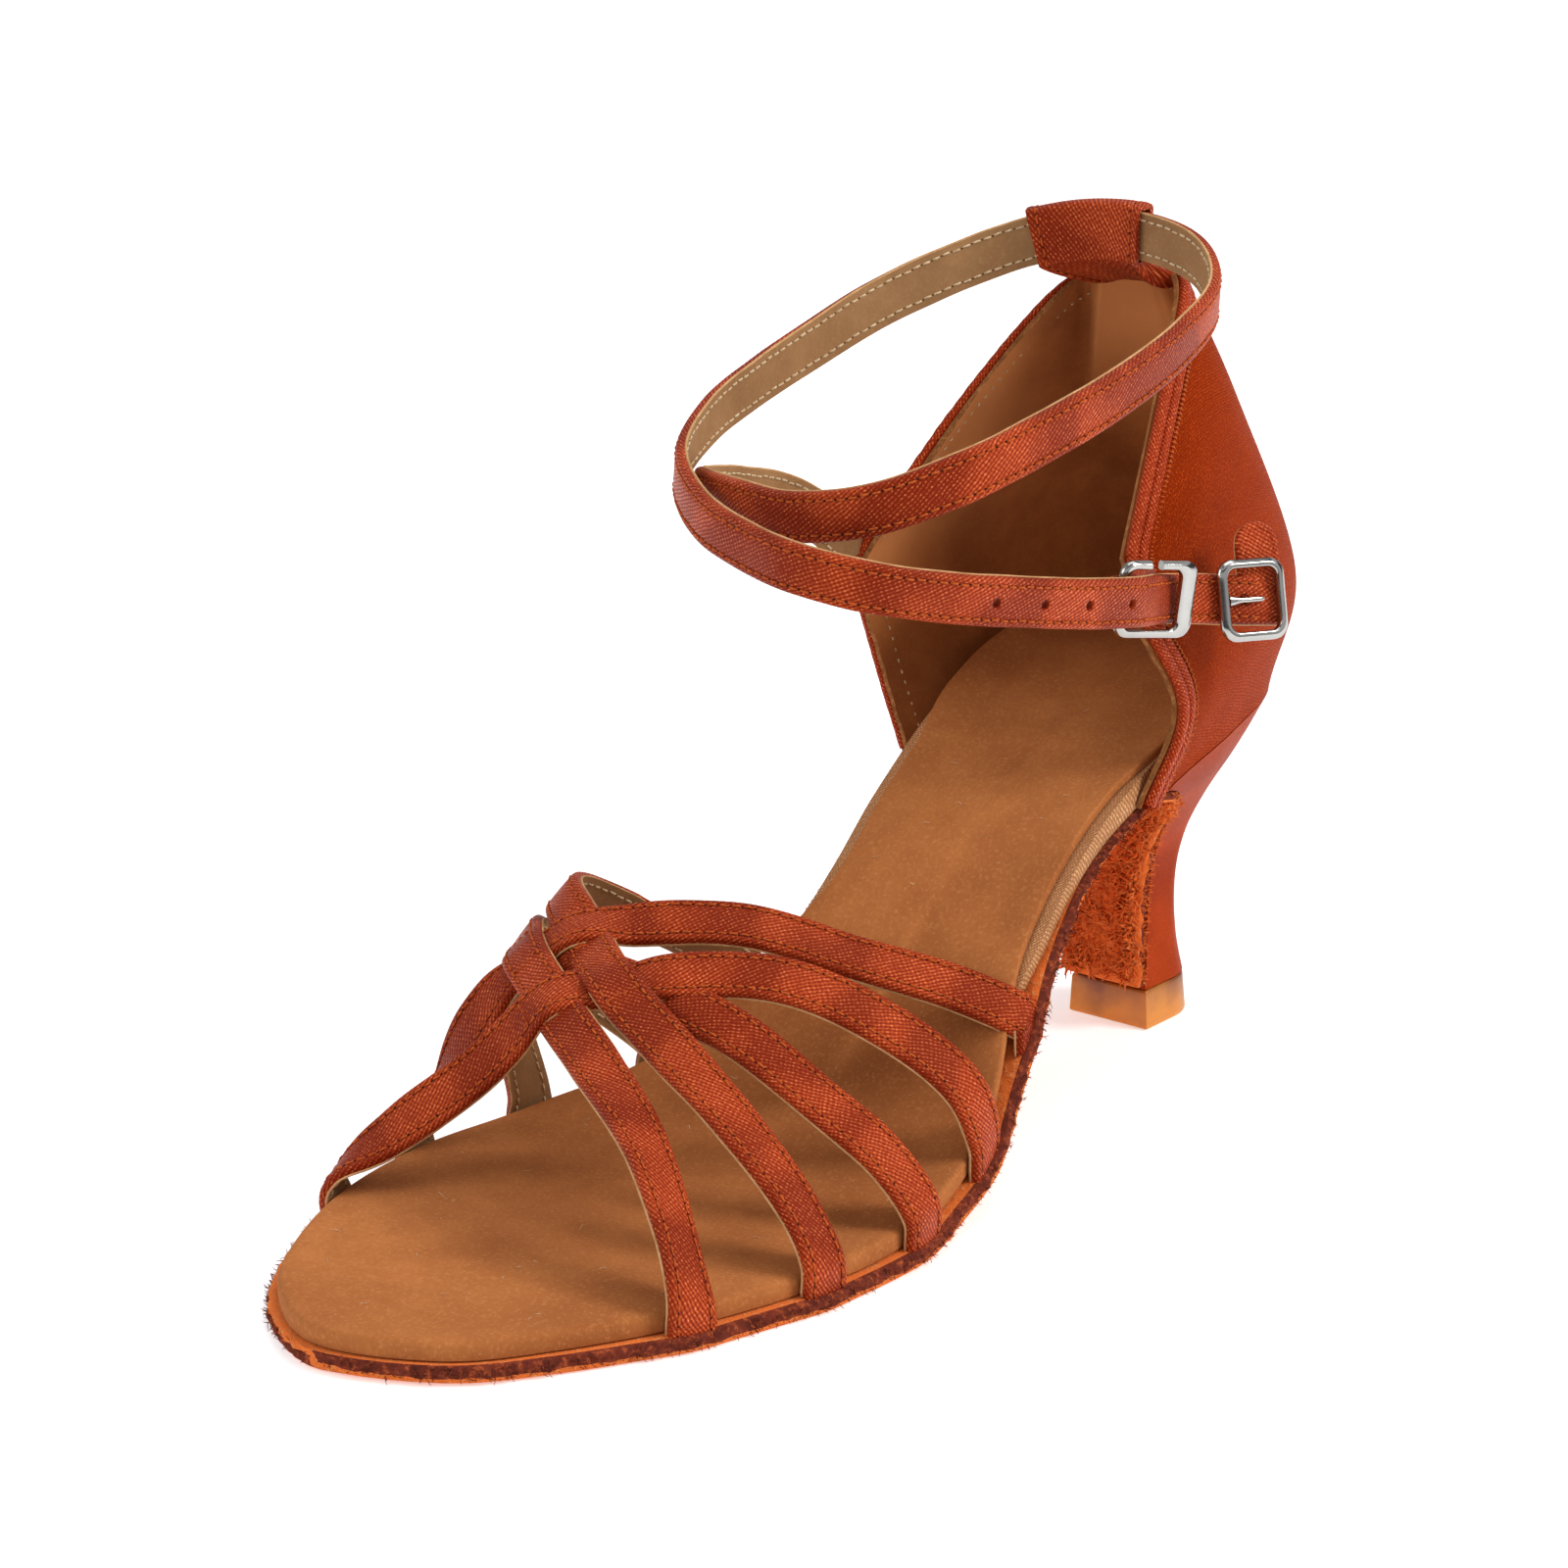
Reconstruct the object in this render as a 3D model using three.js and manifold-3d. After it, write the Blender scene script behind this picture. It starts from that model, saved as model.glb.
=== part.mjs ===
// Ballroom dance sandal for the left foot, standing empty on its sole.
// Millimetres, +Z up. The toe points along -Y and +X is the outer side of the foot.
import * as THREE from 'three';
import { mergeVertices } from 'three/addons/utils/BufferGeometryUtils.js';
import Module from 'manifold-3d';

const wasm = await Module();
wasm.setup();

// Driving dimensions
const footLength = 222;        // toe tip to back of seat, along the floor
const ballWidth = 84;          // insole across the ball
const seatHeight = 59.5;       // floor to underside of insole at the back
const instepHeight = 45;       // floor to the crown of the front straps
const collarHeight = 131;      // floor to the top of the heel counter
const clearance = 0.3;         // between pieces that meet
const outsoleThickness = 2.8;  // suede sole under the forefoot
const breastThickness = 1.9;   // the same suede over the heel breast
const insoleThickness = 3.4;   // board and sock together under the forefoot
const sockThickness = 1.3;
const seatCup = 4.5;           // how far the seat dips below its rim
const counterWall = 2.0;       // satin, stiffener and suede lining
const bindingWidth = 3.5;      // bound edge of the counter
const bindingRaise = 0.5;
const strapWidth = 8;
const strapThickness = 1.8;    // satin and leather lining together
const tipWidth = 16;           // heel tip where it meets the floor
const tipDepth = 16;
const tipHeight = 7.3;
const tipFlare = 0.4;
const tipCentre = { x: 3.2, y: 193.2 };
const seatFront = 168;         // where the heel breast meets the waist
const loopLength = 23;         // back loop, along the strap
const loopWall = 0.9;
const loopTail = 2.4;          // thickness of the loop where it is sewn down
const ringLength = 15.5;       // hook ring, outside
const ringHeight = 12.8;
const ringBar = 1.5;
const ringWideBar = 3.4;
const ringGap = 2.2;
const ringCorner = 2.6;        // outside corner radius
const tabHeight = 6.2;
const tabWall = 0.8;
const buckleLength = 12.5;     // buckle frame, outside
const buckleHeight = 13.5;
const buckleBar = 1.6;
const buckleCorner = 2.8;      // outside corner radius
const buckleTilt = 5;          // degrees, the far side higher
const prongThickness = 1.1;
const strapTipLength = 13;

const satin = new THREE.MeshStandardMaterial({ color: 0xc4522a, roughness: 0.45 });
const satinDark = new THREE.MeshStandardMaterial({ color: 0xb04523, roughness: 0.5 });
const tanSatin = new THREE.MeshStandardMaterial({ color: 0xb98c5f, roughness: 0.55 });
const tanSuede = new THREE.MeshStandardMaterial({ color: 0xb97841, roughness: 0.9 });
const soleSuede = new THREE.MeshStandardMaterial({ color: 0xa84a20, roughness: 0.95 });
const amber = new THREE.MeshStandardMaterial({ color: 0xc89646, roughness: 0.35 });
const nickel = new THREE.MeshStandardMaterial({ color: 0xcfcfcd, roughness: 0.2, metalness: 1 });

// Sole table, one row for each section from toe to heel.
// along: share of footLength. outer, inner: shares of half the ball width.
// rise: share of the height from outsole top to seat. stack: share of insoleThickness.
// welt: outsole beyond the insole, share of strapThickness. wrap: 1 where the sock wraps the edge.
const soleRows = [
  { along: 0.000, outer: -0.12, inner: -0.12, rise: 0.009, stack: 1.00, cup: 0.0, welt: 0.7, wrap: 1.0 },
  { along: 0.032, outer: 0.32, inner: -0.49, rise: 0.006, stack: 1.00, cup: 0.0, welt: 0.8, wrap: 1.0 },
  { along: 0.090, outer: 0.57, inner: -0.74, rise: 0.002, stack: 1.00, cup: 0.0, welt: 1.1, wrap: 1.0 },
  { along: 0.180, outer: 0.82, inner: -0.96, rise: 0.000, stack: 1.00, cup: 0.0, welt: 1.35, wrap: 1.0 },
  { along: 0.280, outer: 0.965, inner: -1.035, rise: 0.000, stack: 1.00, cup: 0.0, welt: 1.35, wrap: 1.0 },
  { along: 0.380, outer: 0.985, inner: -0.94, rise: 0.012, stack: 1.03, cup: 0.0, welt: 1.35, wrap: 0.9 },
  { along: 0.482, outer: 0.88, inner: -0.67, rise: 0.125, stack: 1.10, cup: 0.0, welt: 1.3, wrap: 0.6 },
  { along: 0.581, outer: 0.72, inner: -0.42, rise: 0.480, stack: 1.25, cup: 0.0, welt: 1.3, wrap: 0.05 },
  { along: 0.671, outer: 0.645, inner: -0.44, rise: 0.725, stack: 1.45, cup: 0.1, welt: 0.5, wrap: 0.0 },
  { along: 0.761, outer: 0.63, inner: -0.51, rise: 0.868, stack: 1.90, cup: 0.4, welt: 0.2, wrap: 0.0 },
  { along: 0.851, outer: 0.595, inner: -0.56, rise: 0.947, stack: 2.45, cup: 0.8, welt: 0.2, wrap: 0.0 },
  { along: 0.932, outer: 0.45, inner: -0.44, rise: 0.985, stack: 2.85, cup: 1.0, welt: 0.2, wrap: 0.0 },
  { along: 1.000, outer: 0.00, inner: 0.00, rise: 1.000, stack: 3.00, cup: 1.0, welt: 0.2, wrap: 0.0 },
];

// Heel table from tip to seat. up: share of the height between them.
// width, front, back: share of the way from the tip's outline to the seat's.
const heelRows = [
  { up: 0.00, width: 0.00, front: 0.00, back: 0.00 },
  { up: 0.13, width: 0.01, front: 0.00, back: -0.11 },
  { up: 0.29, width: 0.03, front: 0.01, back: -0.16 },
  { up: 0.44, width: 0.08, front: 0.03, back: -0.14 },
  { up: 0.58, width: 0.21, front: 0.08, back: -0.03 },
  { up: 0.73, width: 0.47, front: 0.19, back: 0.23 },
  { up: 0.84, width: 0.72, front: 0.38, back: 0.50 },
  { up: 0.92, width: 0.87, front: 0.64, back: 0.71 },
  { up: 0.97, width: 0.96, front: 0.86, back: 0.88 },
  { up: 1.00, width: 1.00, front: 1.00, back: 1.00 },
];

// Counter table from the back seam round to the front edge.
// foot: where the rib starts on the seat, share of footLength.
// w1..w3: half widths, shares of half the ball width; a1..a3: along, shares of footLength;
// h1..h3: shares of the height from seat to collar. 3 is the top edge.
// sweep, spread: how much further back and out the outer side lies at 1, shares as above.
const counterRows = [
  {
    foot: 1.000, w1: 0.00, a1: 1.015, h1: 0.26,
    w2: 0.00, a2: 0.966, h2: 0.72, w3: 0.00, a3: 0.925, h3: 1.00, sweep: 0, spread: 0,
  },
  {
    foot: 0.985, w1: 0.355, a1: 0.9965, h1: 0.26,
    w2: 0.26, a2: 0.948, h2: 0.71, w3: 0.16, a3: 0.915, h3: 0.995, sweep: 0, spread: 0,
  },
  {
    foot: 0.940, w1: 0.6025, a1: 0.949, h1: 0.26,
    w2: 0.45, a2: 0.917, h2: 0.67, w3: 0.29, a3: 0.888, h3: 0.955, sweep: 0, spread: 0,
  },
  {
    foot: 0.875, w1: 0.725, a1: 0.8765, h1: 0.26,
    w2: 0.58, a2: 0.862, h2: 0.60, w3: 0.385, a3: 0.847, h3: 0.850, sweep: 0, spread: 0,
  },
  {
    foot: 0.802, w1: 0.7525, a1: 0.800, h1: 0.18,
    w2: 0.69, a2: 0.796, h2: 0.48, w3: 0.50, a3: 0.790, h3: 0.670, sweep: 0.01, spread: 0.03,
  },
  {
    foot: 0.730, w1: 0.6925, a1: 0.735, h1: 0.09,
    w2: 0.74, a2: 0.725, h2: 0.31, w3: 0.61, a3: 0.733, h3: 0.465, sweep: 0.022, spread: 0.09,
  },
];
const counterShift = -0.02;    // the counter's middle, share of half the ball width
const counterMiddle = 0.8;     // and along the foot, share of footLength

// Crossings of the woven front straps and the straps themselves, outer end first.
// across: share of half the ball width. along: share of footLength. high: share of instepHeight.
const crossings = {
  upper: { across: -0.70, along: 0.333, high: 0.845 },
  front: { across: -0.38, along: 0.292, high: 0.800 },
  back: { across: -0.53, along: 0.357, high: 0.935 },
  lower: { across: -0.20, along: 0.320, high: 0.865 },
};
const strapRows = {
  first: {
    outerEnd: 0.174, innerEnd: 0.474, legTurn: 0, outFrom: 0.76, outBy: 0.9,
    way: [
      { across: 0.69, along: 0.192, high: 0.36 }, { across: 0.40, along: 0.224, high: 0.56 },
      { across: 0.00, along: 0.259, high: 0.70 }, 'front', 'upper',
      { across: -0.93, along: 0.382, high: 0.80 }, { across: -0.93, along: 0.430, high: 0.57 },
    ],
  },
  second: {
    outerEnd: 0.278, innerEnd: 0.534, legTurn: 0, outFrom: 0.76, outBy: 0.9,
    way: [
      { across: 0.86, along: 0.282, high: 0.34 }, { across: 0.57, along: 0.286, high: 0.56 },
      { across: 0.19, along: 0.297, high: 0.745 }, 'lower', 'back',
      { across: -0.86, along: 0.408, high: 0.95 }, { across: -0.84, along: 0.468, high: 0.79 },
    ],
  },
  third: {
    outerEnd: 0.381, innerEnd: 0.380, legTurn: 0, outFrom: 0.76, outBy: 0.9,
    way: [
      { across: 0.89, along: 0.372, high: 0.37 }, { across: 0.63, along: 0.357, high: 0.56 },
      { across: 0.30, along: 0.346, high: 0.74 }, { across: -0.06, along: 0.336, high: 0.83 },
      { across: -0.45, along: 0.332, high: 0.86 }, { across: -0.76, along: 0.344, high: 0.79 },
      { across: -0.95, along: 0.363, high: 0.49 },
    ],
  },
  fourth: {
    outerEnd: 0.473, innerEnd: 0.182, legTurn: 1.9, outFrom: 0.76, outBy: 0.93,
    way: [
      { across: 0.87, along: 0.463, high: 0.49 }, { across: 0.61, along: 0.433, high: 0.72 },
      { across: 0.27, along: 0.391, high: 0.875 }, 'lower', 'front',
      { across: -0.598, along: 0.252, high: 0.549 }, { across: -0.831, along: 0.214, high: 0.338 },
    ],
  },
  fifth: {
    outerEnd: 0.559, innerEnd: 0.277, legTurn: 1.9, outFrom: 0.68, outBy: 0.91,
    way: [
      { across: 0.60, along: 0.529, high: 0.69 }, { across: 0.28, along: 0.481, high: 0.82 },
      { across: -0.07, along: 0.428, high: 0.955 }, 'back', 'upper',
      { across: -0.848, along: 0.305, high: 0.609 }, { across: -0.97, along: 0.292, high: 0.364 },
    ],
  },
};
// The straps' faces lean toe-wards round the weave. weaveTurn and legTurn weigh toeWay against
// the direction away from the foot, and legStart and legFull are shares of a strap's length.
const weaveMiddle = { across: -0.45, along: 0.325, high: 0.86 };
const weaveTurn = 0.75;
const weaveReach = 0.117 * footLength;
const toeWay = new THREE.Vector3(0.3, -1, 0);
const legStart = 0.5;
const legFull = 0.72;
// At each crossing one strap lies over the other. lift: shares of strapThickness.
// reach: the length over which a strap climbs or dips to the crossing.
const overLift = 0.47;
const weave = [
  { at: 'upper', strap: 'first', lift: overLift, reach: 9 },
  { at: 'upper', strap: 'fifth', lift: -overLift, reach: 9 },
  { at: 'front', strap: 'fourth', lift: overLift, reach: 9 },
  { at: 'front', strap: 'first', lift: -overLift, reach: 9 },
  { at: 'back', strap: 'fifth', lift: overLift, reach: 9 },
  { at: 'back', strap: 'second', lift: -overLift, reach: 9 },
  { at: 'lower', strap: 'second', lift: overLift, reach: 9 },
  { at: 'lower', strap: 'fourth', lift: -overLift, reach: 9 },
];

// Ankle strap from the inner edge of the counter, twice round the ankle, to its end at the
// buckle. across: share of half the ball width. along: share of footLength.
// high: share of collarHeight.
const ankleRows = [
  { across: -0.724, along: 0.7455, high: 0.6031 }, { across: -0.767, along: 0.7140, high: 0.6679 },
  { across: -0.800, along: 0.6622, high: 0.7366 }, { across: -0.738, along: 0.5856, high: 0.7824 },
  { across: -0.619, along: 0.5293, high: 0.8092 }, { across: -0.417, along: 0.4820, high: 0.8336 },
  { across: -0.119, along: 0.4518, high: 0.8466 }, { across: 0.214, along: 0.4423, high: 0.8504 },
  { across: 0.524, along: 0.4572, high: 0.8687 }, { across: 0.750, along: 0.5068, high: 0.9008 },
  { across: 0.852, along: 0.5766, high: 0.9313 }, { across: 0.876, along: 0.6577, high: 0.9588 },
  { across: 0.831, along: 0.7387, high: 0.9863 }, { across: 0.721, along: 0.8063, high: 1.0137 },
  { across: 0.488, along: 0.8495, high: 1.0412 }, { across: 0.214, along: 0.8640, high: 1.0550 },
  { across: -0.048, along: 0.8631, high: 1.0550 }, { across: -0.305, along: 0.8468, high: 1.0397 },
  { across: -0.545, along: 0.8081, high: 1.0076 }, { across: -0.710, along: 0.7477, high: 0.9710 },
  { across: -0.762, along: 0.6802, high: 0.9374 }, { across: -0.748, along: 0.6126, high: 0.9130 },
  { across: -0.667, along: 0.5428, high: 0.8931 }, { across: -0.488, along: 0.4721, high: 0.8649 },
  { across: -0.190, along: 0.4297, high: 0.8366 }, { across: 0.119, along: 0.4108, high: 0.8206 },
  { across: 0.381, along: 0.4036, high: 0.8115 }, { across: 0.631, along: 0.4252, high: 0.7931 },
  { across: 0.795, along: 0.4775, high: 0.7672 }, { across: 0.876, along: 0.5450, high: 0.7389 },
  { across: 0.914, along: 0.6126, high: 0.7115 }, { across: 0.905, along: 0.6685, high: 0.6908 },
  { across: 0.862, along: 0.6982, high: 0.6794 }, { across: 0.831, along: 0.7279, high: 0.6672 },
  { across: 0.867, along: 0.7568, high: 0.6573 }, { across: 0.945, along: 0.7856, high: 0.6481 },
  { across: 1.010, along: 0.8135, high: 0.6397 },
];
const ankleAxis = 0.65;        // middle of the ankle, share of footLength
const loopSpot = { across: -0.086, along: 0.8613, high: 1.0534 };
const buckleSpot = { across: 0.945, along: 0.7856, high: 0.6481 };
// middle of the bar that the tab holds
const ringLeft = { across: 0.814, along: 0.6676, high: 0.6901 };
// middle of the bar that the strap hooks behind
const ringRight = { across: 0.914, along: 0.7288, high: 0.6702 };
// where the tab is sewn to the counter
const tabRoot = { across: 0.724, along: 0.7252, high: 0.6756 };

const halfBall = ballWidth / 2;
const up = new THREE.Vector3(0, 0, 1);
const lastRow = soleRows.length - 1;

// The insole's edge as one closed curve: toe, outer side, heel, inner side.
function undersideHeight(row) {
  return outsoleThickness + row.rise * (seatHeight - outsoleThickness);
}
const outlinePoints = [
  ...soleRows.map((row) => new THREE.Vector3(
    row.outer * halfBall, row.along * footLength, undersideHeight(row))),
  ...soleRows.slice(1, -1).reverse().map((row) => new THREE.Vector3(
    row.inner * halfBall, row.along * footLength, undersideHeight(row))),
];
const outline = new THREE.CatmullRomCurve3(outlinePoints, true, 'catmullrom', 0.5);

// place runs from 0 at the toe to lastRow at the heel; side is +1 outer, -1 inner.
function onOutline(place, side) {
  const share = place / (2 * lastRow);
  return side > 0 ? share : 1 - share;
}
function rimPoint(place, side, offset = 0) {
  const share = onOutline(place, side);
  const step = 1e-4;
  const point = outline.getPoint(share);
  const ahead = outline.getPoint(share + step);
  const behind = outline.getPoint(share - step);
  const outward = new THREE.Vector3(ahead.y - behind.y, behind.x - ahead.x, 0).normalize();
  return point.addScaledVector(outward, offset);
}
// A column of the sole table between its rows.
const columnCurves = {};
for (const column of ['stack', 'cup', 'welt', 'wrap']) {
  const points = soleRows.map((row) => new THREE.Vector3(row[column], 0, 0));
  columnCurves[column] = new THREE.CatmullRomCurve3(points, false, 'catmullrom', 0.5);
}
function column(name, place) {
  return columnCurves[name].getPoint(place / lastRow).x;
}
// The place on the outline, moved out by offset, whose distance from the toe is along.
function placeAt(along, side, offset = 0) {
  let low = 0;
  let high = lastRow;
  for (let i = 0; i < 40; i += 1) {
    const middle = (low + high) / 2;
    if (rimPoint(middle, side, offset).y < along) {
      low = middle;
    } else {
      high = middle;
    }
  }
  return (low + high) / 2;
}
function undersideAt(along) {
  return rimPoint(placeAt(along, 1), 1).z;
}
function pointAcross(place, side, share, offset, height) {
  const rim = rimPoint(place, side, offset);
  const middle = rimPoint(place, -side, offset).lerp(rim, 0.5);
  const point = middle.lerp(rim, share);
  point.z = height;
  return point;
}
function placesBetween(first, last, stepsPerRow) {
  const count = Math.ceil((last - first) * stepsPerRow);
  return Array.from({ length: count + 1 }, (_, i) => first + ((last - first) * i) / count);
}

// A closed skin over rings of equal count. Ring points pair up first with last,
// so each end is closed by strips between the pairs.
function skin(rings, closed = false) {
  const count = rings[0].length;
  const positions = rings.flat().flatMap((point) => [point.x, point.y, point.z]);
  const index = [];
  const last = closed ? rings.length : rings.length - 1;
  for (let i = 0; i < last; i += 1) {
    const next = (i + 1) % rings.length;
    for (let j = 0; j < count; j += 1) {
      const k = (j + 1) % count;
      const a = i * count + j;
      const b = i * count + k;
      const c = next * count + j;
      const d = next * count + k;
      index.push(a, b, d, a, d, c);
    }
  }
  if (!closed) {
    const end = (rings.length - 1) * count;
    for (let j = 0; j < count / 2 - 1; j += 1) {
      const mate = count - 1 - j;
      index.push(j, mate, mate - 1, j, mate - 1, j + 1);
      index.push(end + j, end + mate - 1, end + mate, end + j, end + j + 1, end + mate - 1);
    }
  }
  const geometry = new THREE.BufferGeometry();
  geometry.setAttribute('position', new THREE.Float32BufferAttribute(positions, 3));
  geometry.setIndex(index);
  return facingOut(geometry);
}
function facingOut(geometry) {
  const position = geometry.attributes.position;
  const index = geometry.index.array;
  const corner = [new THREE.Vector3(), new THREE.Vector3(), new THREE.Vector3()];
  let volume = 0;
  for (let i = 0; i < index.length; i += 3) {
    corner.forEach((vertex, k) => vertex.fromBufferAttribute(position, index[i + k]));
    volume += corner[0].dot(corner[1].clone().cross(corner[2]));
  }
  if (volume < 0) {
    for (let i = 0; i < index.length; i += 3) {
      [index[i], index[i + 1]] = [index[i + 1], index[i]];
    }
  }
  return geometry;
}
function solid(geometry) {
  const bare = geometry.clone();
  bare.deleteAttribute('normal');
  bare.deleteAttribute('uv');
  const merged = mergeVertices(bare, 1e-4);
  return new wasm.Manifold(new wasm.Mesh({
    numProp: 3,
    vertProperties: new Float32Array(merged.attributes.position.array),
    triVerts: new Uint32Array(merged.index.array),
  }));
}
function geometryOf(manifold) {
  const mesh = manifold.getMesh();
  const geometry = new THREE.BufferGeometry();
  geometry.setAttribute('position', new THREE.BufferAttribute(mesh.vertProperties, 3));
  geometry.setIndex(new THREE.BufferAttribute(mesh.triVerts, 1));
  return geometry;
}

const shoe = new THREE.Group();
function piece(name, geometry, material) {
  geometry.computeVertexNormals();
  const mesh = new THREE.Mesh(geometry, material);
  mesh.name = name;
  shoe.add(mesh);
  return mesh;
}

// Both halves of a ring, outer side first, inner side mirrored back to the start.
function pairedRing(half) {
  return [...half(1), ...half(-1).reverse()];
}

// The board steps in first, and only then does the sock's lip come down beside it.
const wrapStart = 0.15;
function boardInset(place) {
  const share = THREE.MathUtils.clamp(column('wrap', place) / wrapStart, 0, 1);
  return share * (sockThickness + clearance);
}
function lipShare(place) {
  return THREE.MathUtils.clamp((column('wrap', place) - wrapStart) / (1 - wrapStart), 0, 1);
}
function insoleBoard() {
  const rings = placesBetween(0.16, lastRow - 0.14, 3).map((place) => {
    const under = rimPoint(place, 1).z + clearance;
    const inset = boardInset(place);
    const top = under - 2 * clearance + column('stack', place) * insoleThickness - sockThickness;
    const dip = column('cup', place) * seatCup;
    return pairedRing((side) => [
      pointAcross(place, side, 0.45, -inset, under),
      pointAcross(place, side, 1, -inset, under),
      pointAcross(place, side, 1, -inset, top),
      pointAcross(place, side, 0.72, -inset, top - dip * 0.75),
      pointAcross(place, side, 0.3, -inset, top - dip),
    ]);
  });
  return skin(rings);
}

// The sock has a round edge, and in the forefoot a lip that wraps down over the board.
function sock() {
  const lipLeast = clearance / 2;
  const rings = placesBetween(0.08, lastRow - 0.06, 3).map((place) => {
    const under = rimPoint(place, 1).z;
    const top = under + column('stack', place) * insoleThickness;
    const dip = column('cup', place) * seatCup;
    const wrap = lipShare(place);
    const lip = lipLeast + wrap * (top - sockThickness - under - clearance - lipLeast);
    const round = 0.35 * sockThickness + 0.6 * wrap;
    return pairedRing((side) => [
      pointAcross(place, side, 0.3, -sockThickness, top - dip - sockThickness),
      pointAcross(place, side, 0.72, -sockThickness, top - dip * 0.75 - sockThickness),
      pointAcross(place, side, 1, -sockThickness, top - sockThickness),
      pointAcross(place, side, 1, -sockThickness, top - sockThickness - lip),
      pointAcross(place, side, 1, 0, top - sockThickness - lip),
      pointAcross(place, side, 1, 0, top - round),
      pointAcross(place, side, 1, -round, top),
      pointAcross(place, side, 0.72, -round, top - dip * 0.75),
      pointAcross(place, side, 0.3, -round, top - dip),
    ]);
  });
  return skin(rings);
}

// The seat outline that the heel's top follows: the outside of the counter.
const seatOffset = clearance + counterWall;
function seatEdge(along, side) {
  return rimPoint(placeAt(along, side, seatOffset), side, seatOffset);
}
const tipFront = tipCentre.y - tipDepth / 2;
const tipBack = tipCentre.y + tipDepth / 2;
const seatBack = footLength + seatOffset;
function tipHalfWidth(share) {
  const round = Math.max(0, (share - 0.5) / 0.5);
  return (tipWidth / 2) * Math.sqrt(1 - round * round);
}
// One point of the heel's wall. share runs from the breast at 0 to the back at 1.
function heelPoint(row, share, side) {
  const front = THREE.MathUtils.lerp(tipFront, seatFront, row.front);
  const back = THREE.MathUtils.lerp(tipBack, seatBack, row.back);
  const along = THREE.MathUtils.lerp(front, back, share);
  const seatAlong = THREE.MathUtils.lerp(seatFront, seatBack, share);
  const across = THREE.MathUtils.lerp(
    tipCentre.x + side * tipHalfWidth(share), seatEdge(seatAlong, side).x, row.width);
  const top = undersideAt(Math.min(along, footLength));
  return new THREE.Vector3(across, along, THREE.MathUtils.lerp(tipHeight, top, row.up));
}
const heelShares = [0, 0.2, 0.4, 0.54, 0.66, 0.77, 0.86, 0.93, 0.98, 0.998];
function heel() {
  const rings = heelRows.map((row) => pairedRing(
    (side) => heelShares.map((share) => heelPoint(row, share, side))));
  return skin(rings);
}
function heelTip() {
  const levels = [{ height: 0, flare: tipFlare }, { height: tipHeight - clearance, flare: 0 }];
  const rings = levels.map((level) => pairedRing((side) => heelShares.map((share) => {
    const grow = 1 + level.flare / (tipWidth / 2);
    const along = THREE.MathUtils.lerp(tipFront, tipBack, share) - tipCentre.y;
    return new THREE.Vector3(
      tipCentre.x + side * grow * tipHalfWidth(share), tipCentre.y + grow * along, level.height);
  })));
  return skin(rings);
}

// Outsole: one suede piece along the forefoot and waist, bent down over the heel breast.
// The ball is flat on the floor, with a slight toe spring ahead of it.
function breastRow(up) {
  const next = heelRows.findIndex((row) => row.up >= up);
  const high = heelRows[Math.max(next, 1)];
  const low = heelRows[Math.max(next, 1) - 1];
  const share = (up - low.up) / (high.up - low.up);
  return {
    up,
    width: THREE.MathUtils.lerp(low.width, high.width, share),
    front: THREE.MathUtils.lerp(low.front, high.front, share),
    back: 0,
  };
}
function outsole() {
  const waistEnd = placeAt(seatFront - 1.5, 1);
  const stations = placesBetween(0.05, waistEnd, 3).map((place) => {
    const offset = column('welt', place) * strapThickness;
    return { ends: [1, -1].map((side) => rimPoint(place, side, offset)), lower: 0 };
  });
  for (const level of [0.965, 0.93, 0.89, 0.84, 0.78, 0.7, 0.6, 0.45, 0.3, 0.15, 0.02]) {
    const row = breastRow(level);
    const ends = [1, -1].map((side) => heelPoint(row, 0, side));
    stations.push({ ends, lower: clearance + 0.05 });
  }
  const middles = stations.map((station) => station.ends[0].clone().lerp(station.ends[1], 0.5));
  const rings = stations.map((station, i) => {
    const before = middles[Math.max(i - 1, 0)];
    const after = middles[Math.min(i + 1, middles.length - 1)];
    const down = new THREE.Vector3(0, after.z - before.z, before.y - after.y).normalize();
    const onBreast = station.lower > 0;
    const waist = THREE.MathUtils.smoothstep(middles[i].z, outsoleThickness, seatHeight * 0.7);
    const thick = THREE.MathUtils.lerp(outsoleThickness, breastThickness, onBreast ? 1 : waist);
    const corner = 0.5;
    const at = (side, inset, depth) => {
      const edge = station.ends[side > 0 ? 0 : 1].clone();
      const inward = middles[i].clone().sub(edge).normalize();
      edge.addScaledVector(inward, inset).addScaledVector(down, station.lower + depth);
      edge.z = Math.max(edge.z, 0);
      return edge;
    };
    return pairedRing((side) => [
      at(side, corner, 0),
      at(side, 0, corner),
      at(side, 0, thick - corner),
      at(side, corner, thick),
    ]);
  });
  return skin(rings);
}

// The counter's outer face. turn runs from -1 at the inner front edge to +1 at the outer one.
const counterLast = counterRows.length - 1;
function counterLevel(half, along, high) {
  const points = (side) => counterRows.map((row) => {
    const uneven = half === 'w1' && side > 0 ? row : { sweep: 0, spread: 0 };
    return new THREE.Vector3(
      (side * (row[half] + uneven.spread) + counterShift) * halfBall,
      (row[along] + uneven.sweep) * footLength,
      seatHeight + row[high] * (collarHeight - seatHeight),
    );
  });
  const all = [...points(-1).slice(1).reverse(), ...points(1)];
  return new THREE.CatmullRomCurve3(all, false, 'catmullrom', 0.5);
}
const footPlaces = counterRows.map((row) => new THREE.Vector3(
  row.foot >= 1 ? lastRow : placeAt(row.foot * footLength, 1), 0, 0));
const counterFeet = new THREE.CatmullRomCurve3(
  [...footPlaces.slice(1).reverse(), ...footPlaces], false, 'catmullrom', 0.5);
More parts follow.
